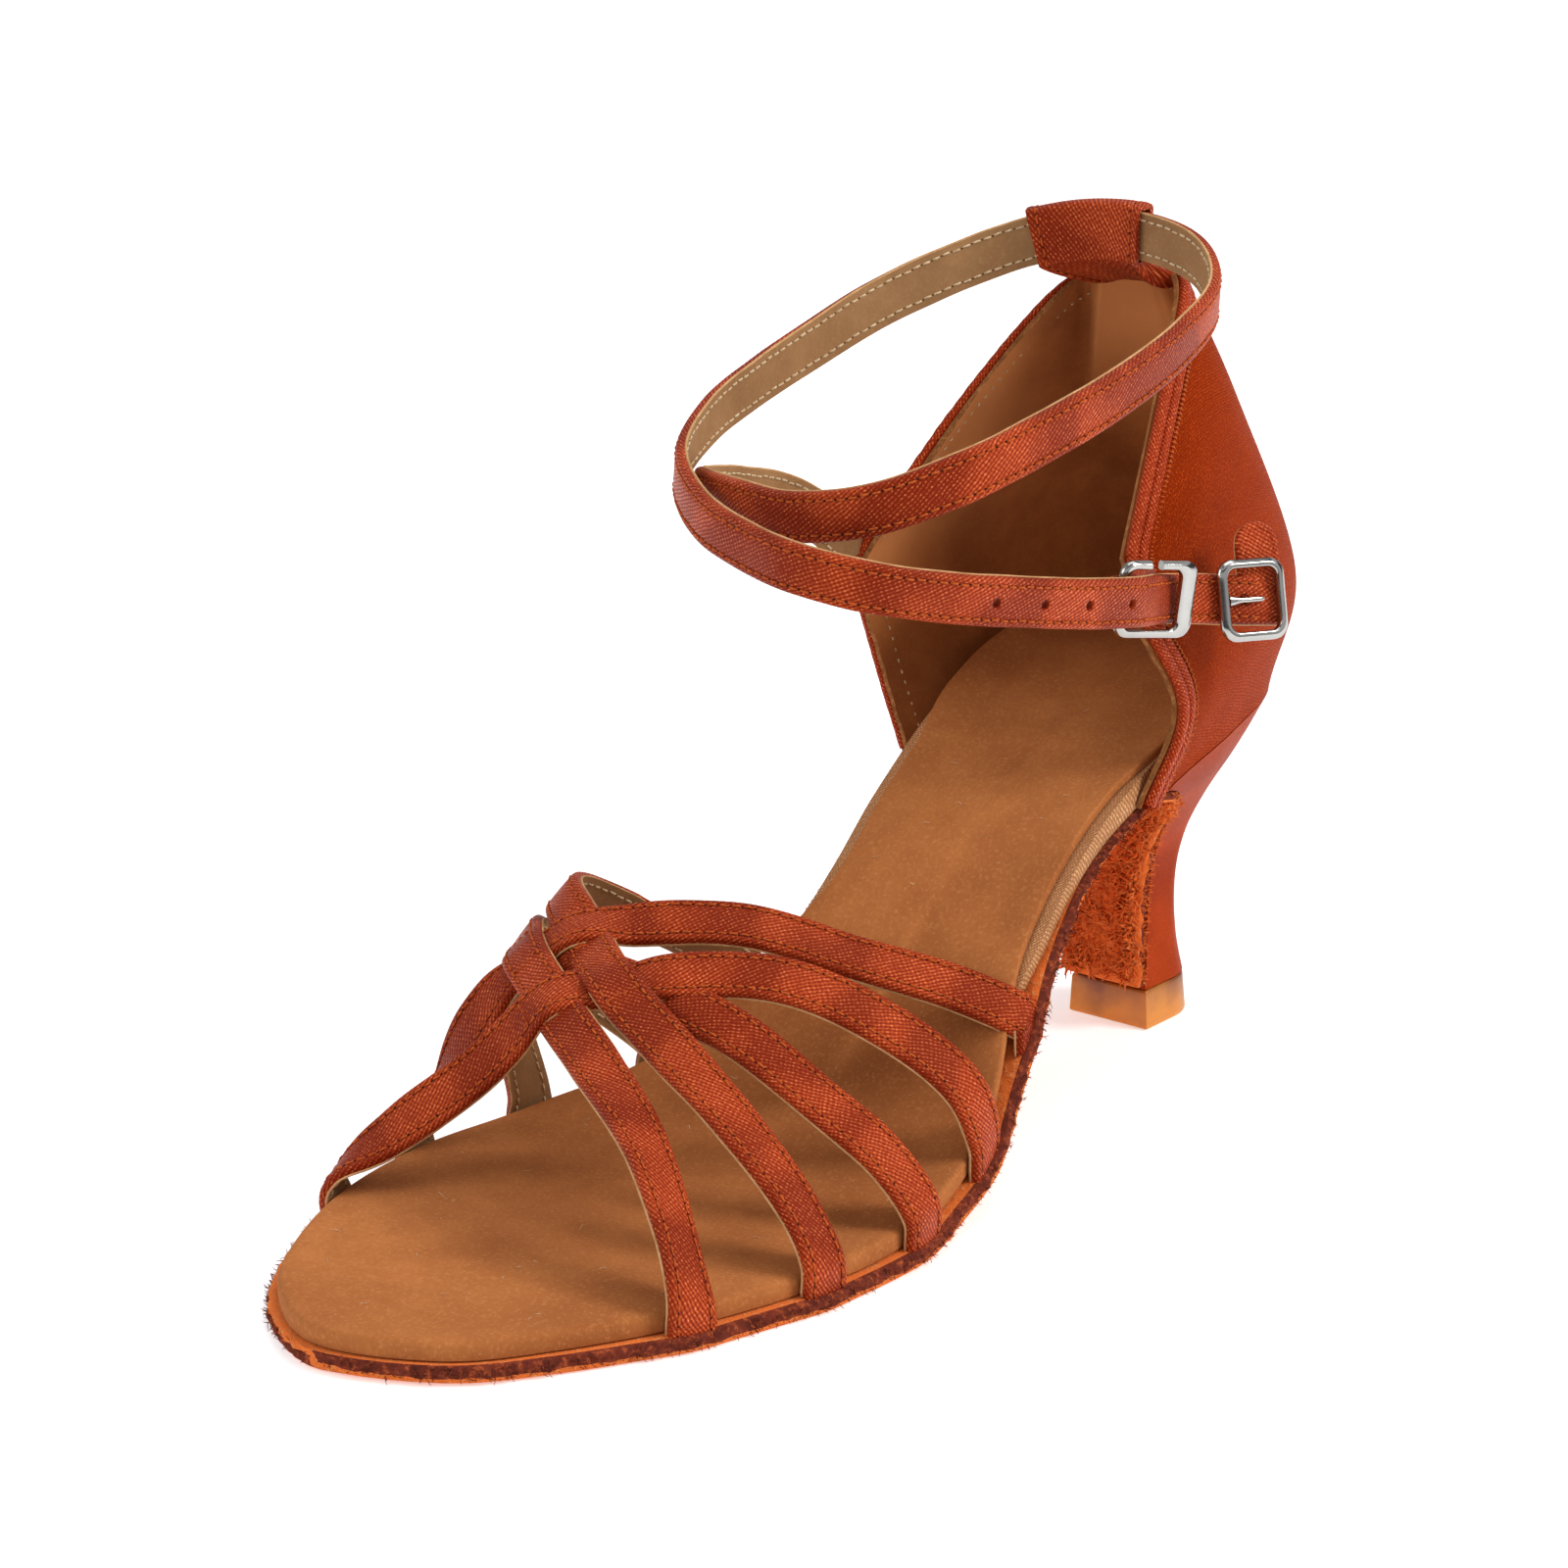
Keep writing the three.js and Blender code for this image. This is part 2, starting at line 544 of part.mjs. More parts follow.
const counterLevels = [['w1', 'a1', 'h1'], ['w2', 'a2', 'h2'], ['w3', 'a3', 'h3']]
  .map((names) => counterLevel(...names));
function counterFoot(turn, offset) {
  const place = Math.min(counterFeet.getPoint((turn + 1) / 2).x, lastRow);
  const foot = rimPoint(place, turn < 0 ? -1 : 1, offset);
  foot.z += clearance;
  return foot;
}
function counterRib(turn) {
  const share = (turn + 1) / 2;
  return new THREE.CatmullRomCurve3(
    [counterFoot(turn, seatOffset), ...counterLevels.map((curve) => curve.getPoint(share))],
    false, 'catmullrom', 0.5);
}
function counterPoint(turn, rise) {
  return counterRib(turn).getPoint(rise);
}
function counterNormal(turn, rise) {
  const step = 0.004;
  const t0 = Math.max(turn - step, -1);
  const t1 = Math.min(turn + step, 1);
  const r0 = Math.max(rise - step, 0);
  const r1 = Math.min(rise + step, 1);
  const round = counterPoint(t1, rise).sub(counterPoint(t0, rise));
  const rising = counterPoint(turn, r1).sub(counterPoint(turn, r0));
  const normal = rising.cross(round).normalize();
  const outward = counterPoint(turn, rise);
  outward.y -= footLength * counterMiddle;
  return normal.dot(outward) < 0 ? normal.negate() : normal;
}
function heelCounter() {
  // The binding is a step in the wall along the top and front edges.
  const frontReach = bindingWidth / (footLength * (1 - counterRows[counterLast].a2));
  const steps = 26;
  const turnsInside = Array.from({ length: steps + 1 }, (_, i) => (
    (1 - frontReach) * ((2 * i) / steps - 1)));
  const edgeStep = 0.004;
  const turns = [
    -1, -1 + frontReach - edgeStep, ...turnsInside, 1 - frontReach + edgeStep, 1,
  ];
  const risesInside = [0, 0.12, 0.26, 0.42, 0.58, 0.74, 0.87];
  const outer = [];
  const inner = [];
  for (const turn of turns) {
    const length = counterRib(turn).getLength();
    const topStart = 1 - bindingWidth / length;
    const rises = [
      ...risesInside.map((rise) => rise * topStart), topStart, topStart + edgeStep, 1,
    ];
    const edged = Math.abs(turn) > 1 - frontReach + edgeStep / 2;
    outer.push(rises.map((rise, k) => {
      const bound = edged || k >= rises.length - 2;
      const normal = counterNormal(turn, rise);
      return counterPoint(turn, rise).addScaledVector(normal, bound ? bindingRaise : 0);
    }));
    inner.push(rises.map((rise) => (rise === 0 ? counterFoot(turn, clearance)
      : counterPoint(turn, rise).addScaledVector(counterNormal(turn, rise), -counterWall))));
  }
  const rings = turns.map((_, i) => [...outer[i], ...inner[i].reverse()]);
  return skin(rings);
}

// A flat band along a curve. facing(point, share) gives the direction that its face looks.
function bandFrames(curve, count, facing) {
  return Array.from({ length: count + 1 }, (_, i) => {
    const share = i / count;
    const point = curve.getPoint(share);
    const tangent = curve.getTangent(share);
    const width = new THREE.Vector3().crossVectors(tangent, facing(point, share)).normalize();
    const normal = new THREE.Vector3().crossVectors(width, tangent).normalize();
    return { share, point, tangent, width, normal };
  });
}
const bevel = 0.35;
function bandRing(frame, a, b) {
  const at = (across, out) => frame.point.clone()
    .addScaledVector(frame.width, across).addScaledVector(frame.normal, out);
  return [
    at(-a, -b + bevel), at(-a + bevel, -b), at(a - bevel, -b), at(a, -b + bevel),
    at(a, b - bevel), at(a - bevel, b), at(-a + bevel, b), at(-a, b - bevel),
  ];
}
function band(frames) {
  return skin(frames.map((frame) => bandRing(frame, strapWidth / 2, strapThickness / 2)));
}

// The face of the last under the front straps looks away from the foot's long axis.
function awayFromFoot(point) {
  const across = (point.x + 0.1 * halfBall) / (halfBall * halfBall);
  const high = Math.max(point.z - outsoleThickness, 0);
  const slope = 0.5;
  return new THREE.Vector3(
    across,
    (-slope * high * high) / (instepHeight ** 3),
    high / (instepHeight * instepHeight),
  ).normalize();
}
function strapPoint(spot) {
  const at = typeof spot === 'string' ? crossings[spot] : spot;
  return new THREE.Vector3(at.across * halfBall, at.along * footLength, at.high * instepHeight);
}
// The weave leans toe-wards, and two straps turn on that way beyond it.
function toeTurn(rows, point, share) {
  const away = point.distanceTo(strapPoint(weaveMiddle)) / weaveReach;
  const leg = THREE.MathUtils.smoothstep(share, legStart, legFull)
    * (1 - THREE.MathUtils.smoothstep(share, rows.outFrom, rows.outBy));
  return toeWay.clone().multiplyScalar(weaveTurn * Math.exp(-away * away) + rows.legTurn * leg);
}
function strapEnd(share, side) {
  const offset = 1.5 * clearance + strapThickness / 2;
  const place = placeAt(share * footLength, side, offset);
  const top = rimPoint(place, side, offset);
  const seat = top.clone();
  seat.z -= strapWidth;
  const above = top.clone();
  above.z += 0.6 * strapWidth;
  return [seat, top, above];
}
function rimOutward(along, side) {
  const place = placeAt(along, side);
  return rimPoint(place, side, 1).sub(rimPoint(place, side));
}
function strapCurve(rows) {
  const outerEnd = strapEnd(rows.outerEnd, 1);
  const innerEnd = strapEnd(rows.innerEnd, -1);
  return new THREE.CatmullRomCurve3(
    [...outerEnd, ...rows.way.map(strapPoint), ...innerEnd.reverse()], false, 'centripetal');
}
function frontStrap(name) {
  const rows = strapRows[name];
  const outerWay = rimOutward(rows.outerEnd * footLength, 1);
  const innerWay = rimOutward(rows.innerEnd * footLength, -1);
  const facing = (point, share) => awayFromFoot(point)
    .add(toeTurn(rows, point, share))
    .normalize()
    .lerp(outerWay, 1 - THREE.MathUtils.smoothstep(share, 0.1, 0.24))
    .lerp(innerWay, THREE.MathUtils.smoothstep(share, rows.outFrom, rows.outBy));
  const frames = bandFrames(strapCurve(rows), 40, facing);
  for (const crossing of weave.filter((entry) => entry.strap === name)) {
    const spot = strapPoint(crossing.at);
    for (const frame of frames) {
      const away = Math.min(frame.point.distanceTo(spot) / crossing.reach, 1);
      const share = 0.5 + 0.5 * Math.cos(Math.PI * away);
      frame.lift = (frame.lift || 0) + share * crossing.lift * strapThickness;
    }
  }
  for (const frame of frames) {
    frame.point.addScaledVector(frame.normal, frame.lift || 0);
  }
  return band(frames);
}
// Everything lower than the outsole's top, which the strap ends stand on.
function soleBlock() {
  const wide = 1.6 * halfBall;
  const rings = placesBetween(0.2, placeAt(seatFront, 1), 3).map((place) => {
    const along = rimPoint(place, 1).y;
    const top = rimPoint(place, 1).z + clearance;
    const corner = (side, height) => new THREE.Vector3(side * wide, along, height);
    return [corner(1, -wide), corner(1, top), corner(-1, top), corner(-1, -wide)];
  });
  return skin(rings);
}
function frontStraps() {
  const names = Object.keys(strapRows);
  let joined = solid(frontStrap(names[0]));
  for (const name of names.slice(1)) {
    joined = joined.add(solid(frontStrap(name)));
  }
  return geometryOf(joined.subtract(solid(soleBlock())));
}

// Ankle strap
function vector(row) {
  return new THREE.Vector3(
    row.across * halfBall, row.along * footLength, row.high * collarHeight);
}
const ankleCurve = new THREE.CatmullRomCurve3(ankleRows.map(vector), false, 'centripetal');
function awayFromAnkle(point) {
  return new THREE.Vector3(point.x, point.y - ankleAxis * footLength, 0).normalize();
}
const ankleSteps = 96;
const ankleFrames = bandFrames(ankleCurve, ankleSteps, awayFromAnkle);
function frameNear(spot) {
  const target = vector(spot);
  return ankleFrames.reduce((best, frame) => (
    frame.point.distanceTo(target) < best.point.distanceTo(target) ? frame : best));
}
function strapTip() {
  const end = ankleFrames[ankleFrames.length - 1];
  const shape = new THREE.Shape();
  const half = strapWidth / 2;
  shape.moveTo(-half, 0);
  shape.lineTo(half, 0);
  shape.lineTo(half, strapTipLength - half);
  shape.absarc(0, strapTipLength - half, half, 0, Math.PI, false);
  shape.lineTo(-half, 0);
  const geometry = new THREE.ExtrudeGeometry(shape, {
    depth: strapThickness, bevelEnabled: false, curveSegments: 6,
  });
  const lean = 0.08;
  const along = end.width.clone().multiplyScalar(end.width.z > 0 ? 1 : -1)
    .addScaledVector(end.tangent, -lean).normalize();
  const across = new THREE.Vector3().crossVectors(along, end.normal).normalize();
  const out = new THREE.Vector3().crossVectors(across, along).normalize();
  const start = end.point.clone().addScaledVector(end.tangent, -half * 0.9)
    .addScaledVector(out, -strapThickness / 2);
  geometry.applyMatrix4(new THREE.Matrix4().makeBasis(across, along, out).setPosition(start));
  return geometry;
}
// The strap's sewn end is cut off flush in front of the counter.
function ankleStrap() {
  const behind = new THREE.BoxGeometry(2 * strapWidth, 3 * strapWidth, 3 * strapWidth);
  const edge = [0.2, 0.3, 0.4, 0.5, 0.6].map((rise) => counterPoint(-1, rise).y);
  const frontEdge = Math.min(...edge) - clearance - bindingRaise;
  const sewn = vector(ankleRows[0]);
  behind.translate(sewn.x, frontEdge + 1.5 * strapWidth, sewn.z);
  const whole = solid(band(ankleFrames)).add(solid(strapTip()));
  return geometryOf(whole.subtract(solid(behind)));
}

// Back loop: a satin sleeve round the ankle strap, its root on the counter's top edge.
// out: towards the back, high: up, both from the strap's middle.
const loopRoot = { out: 11.0, high: -6.4 };
function backLoop() {
  const out = strapThickness / 2 + clearance;
  const high = strapWidth / 2 + clearance;
  const wall = loopWall;
  const section = [
    { inner: [out, 0], outer: [out + wall, 0] },
    { inner: [out, high * 0.6], outer: [out + wall, high * 0.7] },
    { inner: [out, high], outer: [out + wall * 0.6, high + wall * 0.8] },
    { inner: [0, high], outer: [0, high + wall * 1.2] },
    { inner: [-out, high], outer: [-out - wall * 0.6, high + wall * 0.8] },
    { inner: [-out, high * 0.6], outer: [-out - wall, high * 0.7] },
    { inner: [-out, -high * 0.6], outer: [-out - wall, -high * 0.7] },
    { inner: [-out, -high], outer: [-out - wall * 0.5, -high - wall] },
    { inner: [0, -high], outer: [loopRoot.out - loopTail, loopRoot.high] },
    { inner: [out, -high], outer: [loopRoot.out, loopRoot.high] },
    { inner: [out, -high * 0.6], outer: [out + wall * 3, -high * 0.75] },
  ];
  const middle = ankleFrames.indexOf(frameNear(loopSpot));
  const spacing = ankleCurve.getLength() / ankleSteps;
  const reach = Math.round(loopLength / 2 / spacing);
  const along = ankleFrames.slice(middle - reach, middle + reach + 1);
  const upright = (frame) => frame.width.clone().multiplyScalar(frame.width.z > 0 ? 1 : -1);
  const rings = section.map(({ inner, outer }) => {
    const outward = (frame) => Math.sign(frame.normal.dot(awayFromAnkle(frame.point)));
    const at = (frame, [away, rise]) => frame.point.clone()
      .addScaledVector(frame.normal, away * outward(frame))
      .addScaledVector(upright(frame), rise);
    return [
      ...along.map((frame) => at(frame, outer)),
      ...along.map((frame) => at(frame, inner)).reverse(),
    ];
  });
  return skin(rings, true);
}

// A rounded rectangular frame of bars in its own plane: x along, y high, z out.
function frameShape(length, height, radius) {
  const shape = new THREE.Shape();
  const x = length / 2;
  const y = height / 2;
  shape.moveTo(-x + radius, -y);
  shape.lineTo(x - radius, -y);
  shape.absarc(x - radius, -y + radius, radius, -Math.PI / 2, 0, false);
  shape.lineTo(x, y - radius);
  shape.absarc(x - radius, y - radius, radius, 0, Math.PI / 2, false);
  shape.lineTo(-x + radius, y);
  shape.absarc(-x + radius, y - radius, radius, Math.PI / 2, Math.PI, false);
  shape.lineTo(-x, -y + radius);
  shape.absarc(-x + radius, -y + radius, radius, Math.PI, 1.5 * Math.PI, false);
  return shape;
}
function extruded(shape, depth, segments = 4) {
  const geometry = new THREE.ExtrudeGeometry(
    shape, { depth, bevelEnabled: false, curveSegments: segments });
  return geometry.translate(0, 0, -depth / 2);
}
// The plane of the hook ring, from its held bar to its wide bar.
const ringAlong = vector(ringRight).sub(vector(ringLeft)).normalize();
const ringOut = new THREE.Vector3().crossVectors(ringAlong, up).normalize();
const ringUp = new THREE.Vector3().crossVectors(ringOut, ringAlong).normalize();
const ringMiddle = vector(ringLeft).addScaledVector(ringAlong, ringLength / 2 - ringBar / 2);
const ringBasis = new THREE.Matrix4().makeBasis(ringAlong, ringUp, ringOut).setPosition(ringMiddle);
function hookRing() {
  const outside = extruded(frameShape(ringLength, ringHeight, ringCorner), ringBar);
  const slotLength = ringLength - ringBar - ringWideBar;
  const slot = extruded(frameShape(slotLength, ringHeight - 2 * ringBar, ringCorner - 0.8 * ringBar), ringBar * 2);
  slot.translate((ringBar - ringWideBar) / 2, 0, 0);
  const mouth = new THREE.BoxGeometry(ringGap, ringBar * 2.4, ringBar * 2);
  mouth.translate(-ringLength * 0.06, ringHeight / 2 - ringBar / 2, 0);
  const ring = solid(outside).subtract(solid(slot)).subtract(solid(mouth));
  return geometryOf(ring).applyMatrix4(ringBasis);
}

// Hook tab: satin folded round the ring's held bar and sewn to the counter's front edge.
function hookTab() {
  const start = vector(ringLeft);
  const ahead = vector(tabRoot).sub(start);
  const length = ahead.length();
  ahead.normalize();
  const outward = new THREE.Vector3().crossVectors(ahead, up).normalize();
  const high = new THREE.Vector3().crossVectors(outward, ahead).normalize();
  const aside = new THREE.Vector3().crossVectors(high, ahead);
  const barHole = ringBar * 0.75 + clearance;
  const around = barHole + tabWall;
  const tail = tabWall;
  const turn = Math.asin(tail / around);
  const shape = new THREE.Shape();
  shape.moveTo(length, -tail);
  shape.lineTo(length, tail);
  shape.lineTo(around * Math.cos(turn), tail);
  shape.absarc(0, 0, around, turn, 2 * Math.PI - turn, false);
  shape.lineTo(length, -tail);
  shape.holes.push(new THREE.Path().absarc(0, 0, barHole, 0, 2 * Math.PI, true));
  const geometry = extruded(shape, tabHeight, 8);
  const raise = start.clone().addScaledVector(ringUp, 0.5);
  const basis = new THREE.Matrix4().makeBasis(ahead, aside, high).setPosition(raise);
  return geometryOf(solid(geometry)).applyMatrix4(basis);
}

// Buckle: a frame on the strap's outer face with a prong into the hole.
const buckleFrameSpot = frameNear(buckleSpot);
const buckleOut = buckleFrameSpot.normal.clone()
  .multiplyScalar(Math.sign(buckleFrameSpot.normal.dot(awayFromAnkle(buckleFrameSpot.point))));
const buckleAlong = buckleFrameSpot.tangent.clone()
  .applyAxisAngle(buckleOut, THREE.MathUtils.degToRad(buckleTilt));
const buckleUp = new THREE.Vector3().crossVectors(buckleOut, buckleAlong).normalize();
const buckleRise = strapThickness / 2 + clearance + buckleBar / 2;
const buckleBasis = new THREE.Matrix4()
  .makeBasis(buckleAlong, buckleUp, buckleOut)
  .setPosition(buckleFrameSpot.point.clone().addScaledVector(buckleOut, buckleRise));
function buckleFrame() {
  const outside = extruded(frameShape(buckleLength, buckleHeight, buckleCorner), buckleBar);
  const inside = extruded(
    frameShape(buckleLength - 2 * buckleBar, buckleHeight - 2 * buckleBar,
      buckleCorner - 0.75 * buckleBar), buckleBar * 2);
  return geometryOf(solid(outside).subtract(solid(inside))).applyMatrix4(buckleBasis);
}
function buckleProng() {
  const inner = buckleLength / 2 - buckleBar - clearance;
  const length = 1.55 * inner;
  const shape = new THREE.Shape();
  const half = prongThickness / 2;
  shape.moveTo(-inner, -half);
  shape.lineTo(-inner + length, -half * 0.7);
  shape.absarc(-inner + length, 0, half * 0.7, -Math.PI / 2, Math.PI / 2, false);
  shape.lineTo(-inner, half);
  shape.lineTo(-inner, -half);
  const geometry = extruded(shape, prongThickness);
  geometry.translate(0, 0, -buckleBar / 2 + prongThickness / 2 + clearance / 2);
  return geometryOf(solid(geometry)).applyMatrix4(buckleBasis);
}

piece('outsole', outsole(), soleSuede);
piece('insole_board', insoleBoard(), tanSatin);
piece('sock', sock(), tanSuede);
piece('heel', heel(), satinDark);
piece('heel_tip', heelTip(), amber);
piece('heel_counter', heelCounter(), satin);
piece('front_straps', frontStraps(), satin);
piece('ankle_strap', ankleStrap(), satin);
piece('back_loop', backLoop(), satin);
piece('hook_tab', hookTab(), satin);
piece('hook_ring', hookRing(), nickel);
piece('buckle_frame', buckleFrame(), nickel);
piece('buckle_prong', buckleProng(), nickel);

// The origin is the middle of the heel tip's resting face.
shoe.position.set(-tipCentre.x, -tipCentre.y, 0);

export default shoe;
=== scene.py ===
# %% [markdown]
# A satin sandal for ballroom dancing, made for the left foot, stands on a pale floor. The solid
# model gives every piece its place. This script gives the pieces their cloth, suede and metal.
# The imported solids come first, as the frame that nothing here may move.

# %% The frame
import math

import bmesh
import bpy
import numpy as np
from mathutils import Matrix, Vector, noise


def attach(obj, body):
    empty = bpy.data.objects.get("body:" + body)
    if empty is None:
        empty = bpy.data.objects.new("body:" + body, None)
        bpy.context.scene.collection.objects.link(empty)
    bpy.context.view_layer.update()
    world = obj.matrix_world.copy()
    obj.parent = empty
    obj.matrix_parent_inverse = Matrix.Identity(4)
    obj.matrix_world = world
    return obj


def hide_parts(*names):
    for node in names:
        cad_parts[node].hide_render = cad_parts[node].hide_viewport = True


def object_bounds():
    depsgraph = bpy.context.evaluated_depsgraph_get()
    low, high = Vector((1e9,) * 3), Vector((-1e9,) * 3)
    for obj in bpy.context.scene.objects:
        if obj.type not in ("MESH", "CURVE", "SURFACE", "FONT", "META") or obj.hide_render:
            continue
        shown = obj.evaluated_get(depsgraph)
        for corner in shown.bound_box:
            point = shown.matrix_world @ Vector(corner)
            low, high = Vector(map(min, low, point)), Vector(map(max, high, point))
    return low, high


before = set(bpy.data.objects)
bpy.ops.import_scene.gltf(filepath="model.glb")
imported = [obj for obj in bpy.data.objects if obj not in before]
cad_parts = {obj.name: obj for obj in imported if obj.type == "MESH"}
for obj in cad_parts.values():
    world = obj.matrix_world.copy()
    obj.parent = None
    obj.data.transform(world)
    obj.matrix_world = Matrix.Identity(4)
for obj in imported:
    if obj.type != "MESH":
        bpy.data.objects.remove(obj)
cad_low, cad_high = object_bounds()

print("solids loaded:", len(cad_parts))

# %% [markdown]
# A shoemaker thinks in millimetres, from the toe tip to the back of the seat. So do the tables
# below. One function turns such points into metres in the shared frame, whose origin is the
# middle of the heel tip's resting face.

# %% Driving sizes, in millimetres
FOOT_LENGTH = 222.0
HALF_BALL = 42.0
SEAT_HEIGHT = 59.5
INSTEP_HEIGHT = 45.0
COLLAR_HEIGHT = 131.0
GAP = 0.3
OUTSOLE = 2.8
BREAST = 1.9
INSOLE = 3.4
SOCK = 1.3
SEAT_CUP = 4.5
COUNTER_WALL = 2.0
STRAP_WIDTH = 8.0
STRAP_THICKNESS = 1.8
TIP_SIZE = 16.0
TIP_HEIGHT = 7.3
TIP_FLARE = 0.4
TIP_CENTRE = np.array([3.2, 193.2, 0.0])
SEAT_FRONT = 168.0
MM = 0.001


def to_frame(points):
    """Millimetres from the toe tip to metres in the shared frame."""
    return (np.asarray(points, float) - TIP_CENTRE) * MM


# %% [markdown]
# Every outline here is a smooth curve through a few points. A spline that passes through the
# points that the maker gives is the simplest such curve. The even kind keeps straps from kinking
# where points lie close together.

# %% Smooth curves
class Smooth:
    """A curve through points. share runs from 0 at the first point to 1 at the last."""

    def __init__(self, points, closed=False, even=False):
        self.points = np.asarray(points, float)
        self.closed = closed
        self.even = even

    def _pick(self, index):
        count = len(self.points)
        if self.closed:
            return self.points[index % count]
        before = 2 * self.points[0] - self.points[1]
        after = 2 * self.points[-1] - self.points[-2]
        padded = np.vstack([before, self.points, after])
        return padded[index + 1]

    def at(self, share):
        count = len(self.points)
        place = np.atleast_1d(np.asarray(share, float)) * (count if self.closed else count - 1)
        index = np.floor(place).astype(int)
        if not self.closed:
            index = np.clip(index, 0, count - 2)
        weight = (place - index)[:, None]
        p0, p1, p2, p3 = (self._pick(index + k) for k in (-1, 0, 1, 2))
        if self.even:
            d0, d1, d2 = (np.maximum(np.linalg.norm(b - a, axis=1), 1e-4)[:, None] ** 0.5
                          for a, b in ((p0, p1), (p1, p2), (p2, p3)))
            m1 = ((p1 - p0) / d0 - (p2 - p0) / (d0 + d1) + (p2 - p1) / d1) * d1
            m2 = ((p2 - p1) / d1 - (p3 - p1) / (d1 + d2) + (p3 - p2) / d2) * d1
        else:
            m1, m2 = 0.5 * (p2 - p0), 0.5 * (p3 - p1)
        w2, w3 = weight**2, weight**3
        return (p1 * (2 * w3 - 3 * w2 + 1) + m1 * (w3 - 2 * w2 + weight)
                + p2 * (3 * w2 - 2 * w3) + m2 * (w3 - w2))

    def tangent(self, share):
        step = 1e-4
        share = np.atleast_1d(np.asarray(share, float))
        low = share - step if self.closed else np.maximum(share - step, 0)
        high = share + step if self.closed else np.minimum(share + step, 1)
        return unit(self.at(high) - self.at(low))

    def length(self, steps=400):
        points = self.at(np.linspace(0, 1, steps))
        return np.linalg.norm(np.diff(points, axis=0), axis=1).sum()

    def even_shares(self, count):
        """Shares that split the curve into stretches of equal length."""
        fine = np.linspace(0, 1, 2000)
        points = self.at(fine)
        run = np.concatenate([[0], np.cumsum(np.linalg.norm(np.diff(points, axis=0), axis=1))])
        return np.interp(np.linspace(0, run[-1], count), run, fine)


def unit(vectors):
    vectors = np.asarray(vectors, float)
    return vectors / np.maximum(np.linalg.norm(vectors, axis=-1, keepdims=True), 1e-9)


def smoothstep(value, low, high):
    share = np.clip((np.asarray(value, float) - low) / (high - low), 0, 1)
    return share * share * (3 - 2 * share)


print("curve helper ready")

# %% [markdown]
# Nearly every piece of a shoe is a skin drawn over rings: the sole, the heel, a strap. This
# helper makes such a mesh with two extras. It lays a cloth map in millimetres over the skin, so
# that a weave follows a strap round its bends, and it can give each strip of the ring a finish.

# %% Skins over rings
def new_piece(name, points, faces, materials, finish=None, cloth=None, sharp=None):
    """A mesh object from millimetre points. cloth holds one (u, v) for each face corner."""
    mesh = bpy.data.meshes.new(name)
    mesh.from_pydata(to_frame(points).tolist(), [], faces)
    for material in materials:
        mesh.materials.append(material)
    if finish is not None:
        mesh.polygons.foreach_set("material_index", np.asarray(finish, np.int32))
    if cloth is not None:
        layer = mesh.uv_layers.new(name="cloth")
        layer.data.foreach_set("uv", np.asarray(cloth, np.float32).ravel())
    build = bmesh.new()
    build.from_mesh(mesh)
    if build.calc_volume(signed=True) < 0:
        bmesh.ops.reverse_faces(build, faces=build.faces)
    build.to_mesh(mesh)
    build.free()
    mesh.shade_smooth()
    if sharp is not None:
        mesh.set_sharp_from_angle(angle=math.radians(sharp))
    piece = bpy.data.objects.new(name, mesh)
    bpy.context.scene.collection.objects.link(piece)
    return piece


def skin(name, rings, materials, strips=None, closed=False, sharp=None, start=0.0, cap=0):
    """Quads over rings of shape (stations, around, 3), with both ends closed unless closed."""
    rings = np.asarray(rings, float)
    stations, around = rings.shape[:2]
    along = np.linalg.norm(np.diff(rings, axis=0), axis=2).mean(axis=1)
    u = np.concatenate([[0], np.cumsum(along)]) + start
    looped = np.concatenate([rings, rings[:, :1]], axis=1)
    middle = looped[stations // 2]
    v = np.concatenate([[0], np.cumsum(np.linalg.norm(np.diff(middle, axis=0), axis=1))])
    faces, finish, cloth = [], [], []
    for i in range(stations if closed else stations - 1):
        n = (i + 1) % stations
        u0, u1 = u[i], (u[n] if n else u[-1] + along.mean())
        for j in range(around):
            k = (j + 1) % around
            faces.append((i * around + j, i * around + k, n * around + k, n * around + j))
            finish.append(0 if strips is None else strips[j])
            cloth += [(u0, v[j]), (u0, v[j + 1]), (u1, v[j + 1]), (u1, v[j])]
    if not closed:
        for i, order in ((0, range(around - 1, -1, -1)), (stations - 1, range(around))):
            ring = list(order)
            for a in range(around // 2 - 1):
                b = around - 1 - a
                faces.append(tuple(i * around + ring[t] for t in (a, a + 1, b - 1, b)))
                finish.append(cap)
                cloth += [(u[i], v[0])] * 4
    return new_piece(name, rings.reshape(-1, 3), faces, materials, finish, cloth, sharp)


def dress(piece, slot, *nodes):
    """Hangs the piece under the root and hides the solids that it stands in for. slot is not used.
    """
    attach(piece, "root")
    if nodes:
        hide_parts(*nodes)
    print(f"{piece.name}: {len(piece.data.polygons)} faces")
    return piece


# %% [markdown]
# The photograph was taken with a long lens from the outer front, a little above the shoe. The
# camera stands where it stood, worked out from the shoe's own sizes. It turns a little so that
# the shoe is in the middle of the picture, and keeps the slight roll.

# %% Camera
CAMERA_AZIMUTH = math.radians(44.07)
CAMERA_ELEVATION = math.radians(18.26)
CAMERA_ROLL = math.radians(2.69)
CAMERA_DISTANCE = 808.04
FOCAL_SHARE = 5190.3 / 1600
AIMED_POINT = np.array([0.0, 90.0, 40.0])
AIMED_PIXEL = np.array([1018.7, 966.3])
SHOE_PIXEL = np.array([1073.0, 793.0])
PICTURE_MIDDLE = np.array([800.0, 800.0])
FOCAL_PIXELS = FOCAL_SHARE * 1600


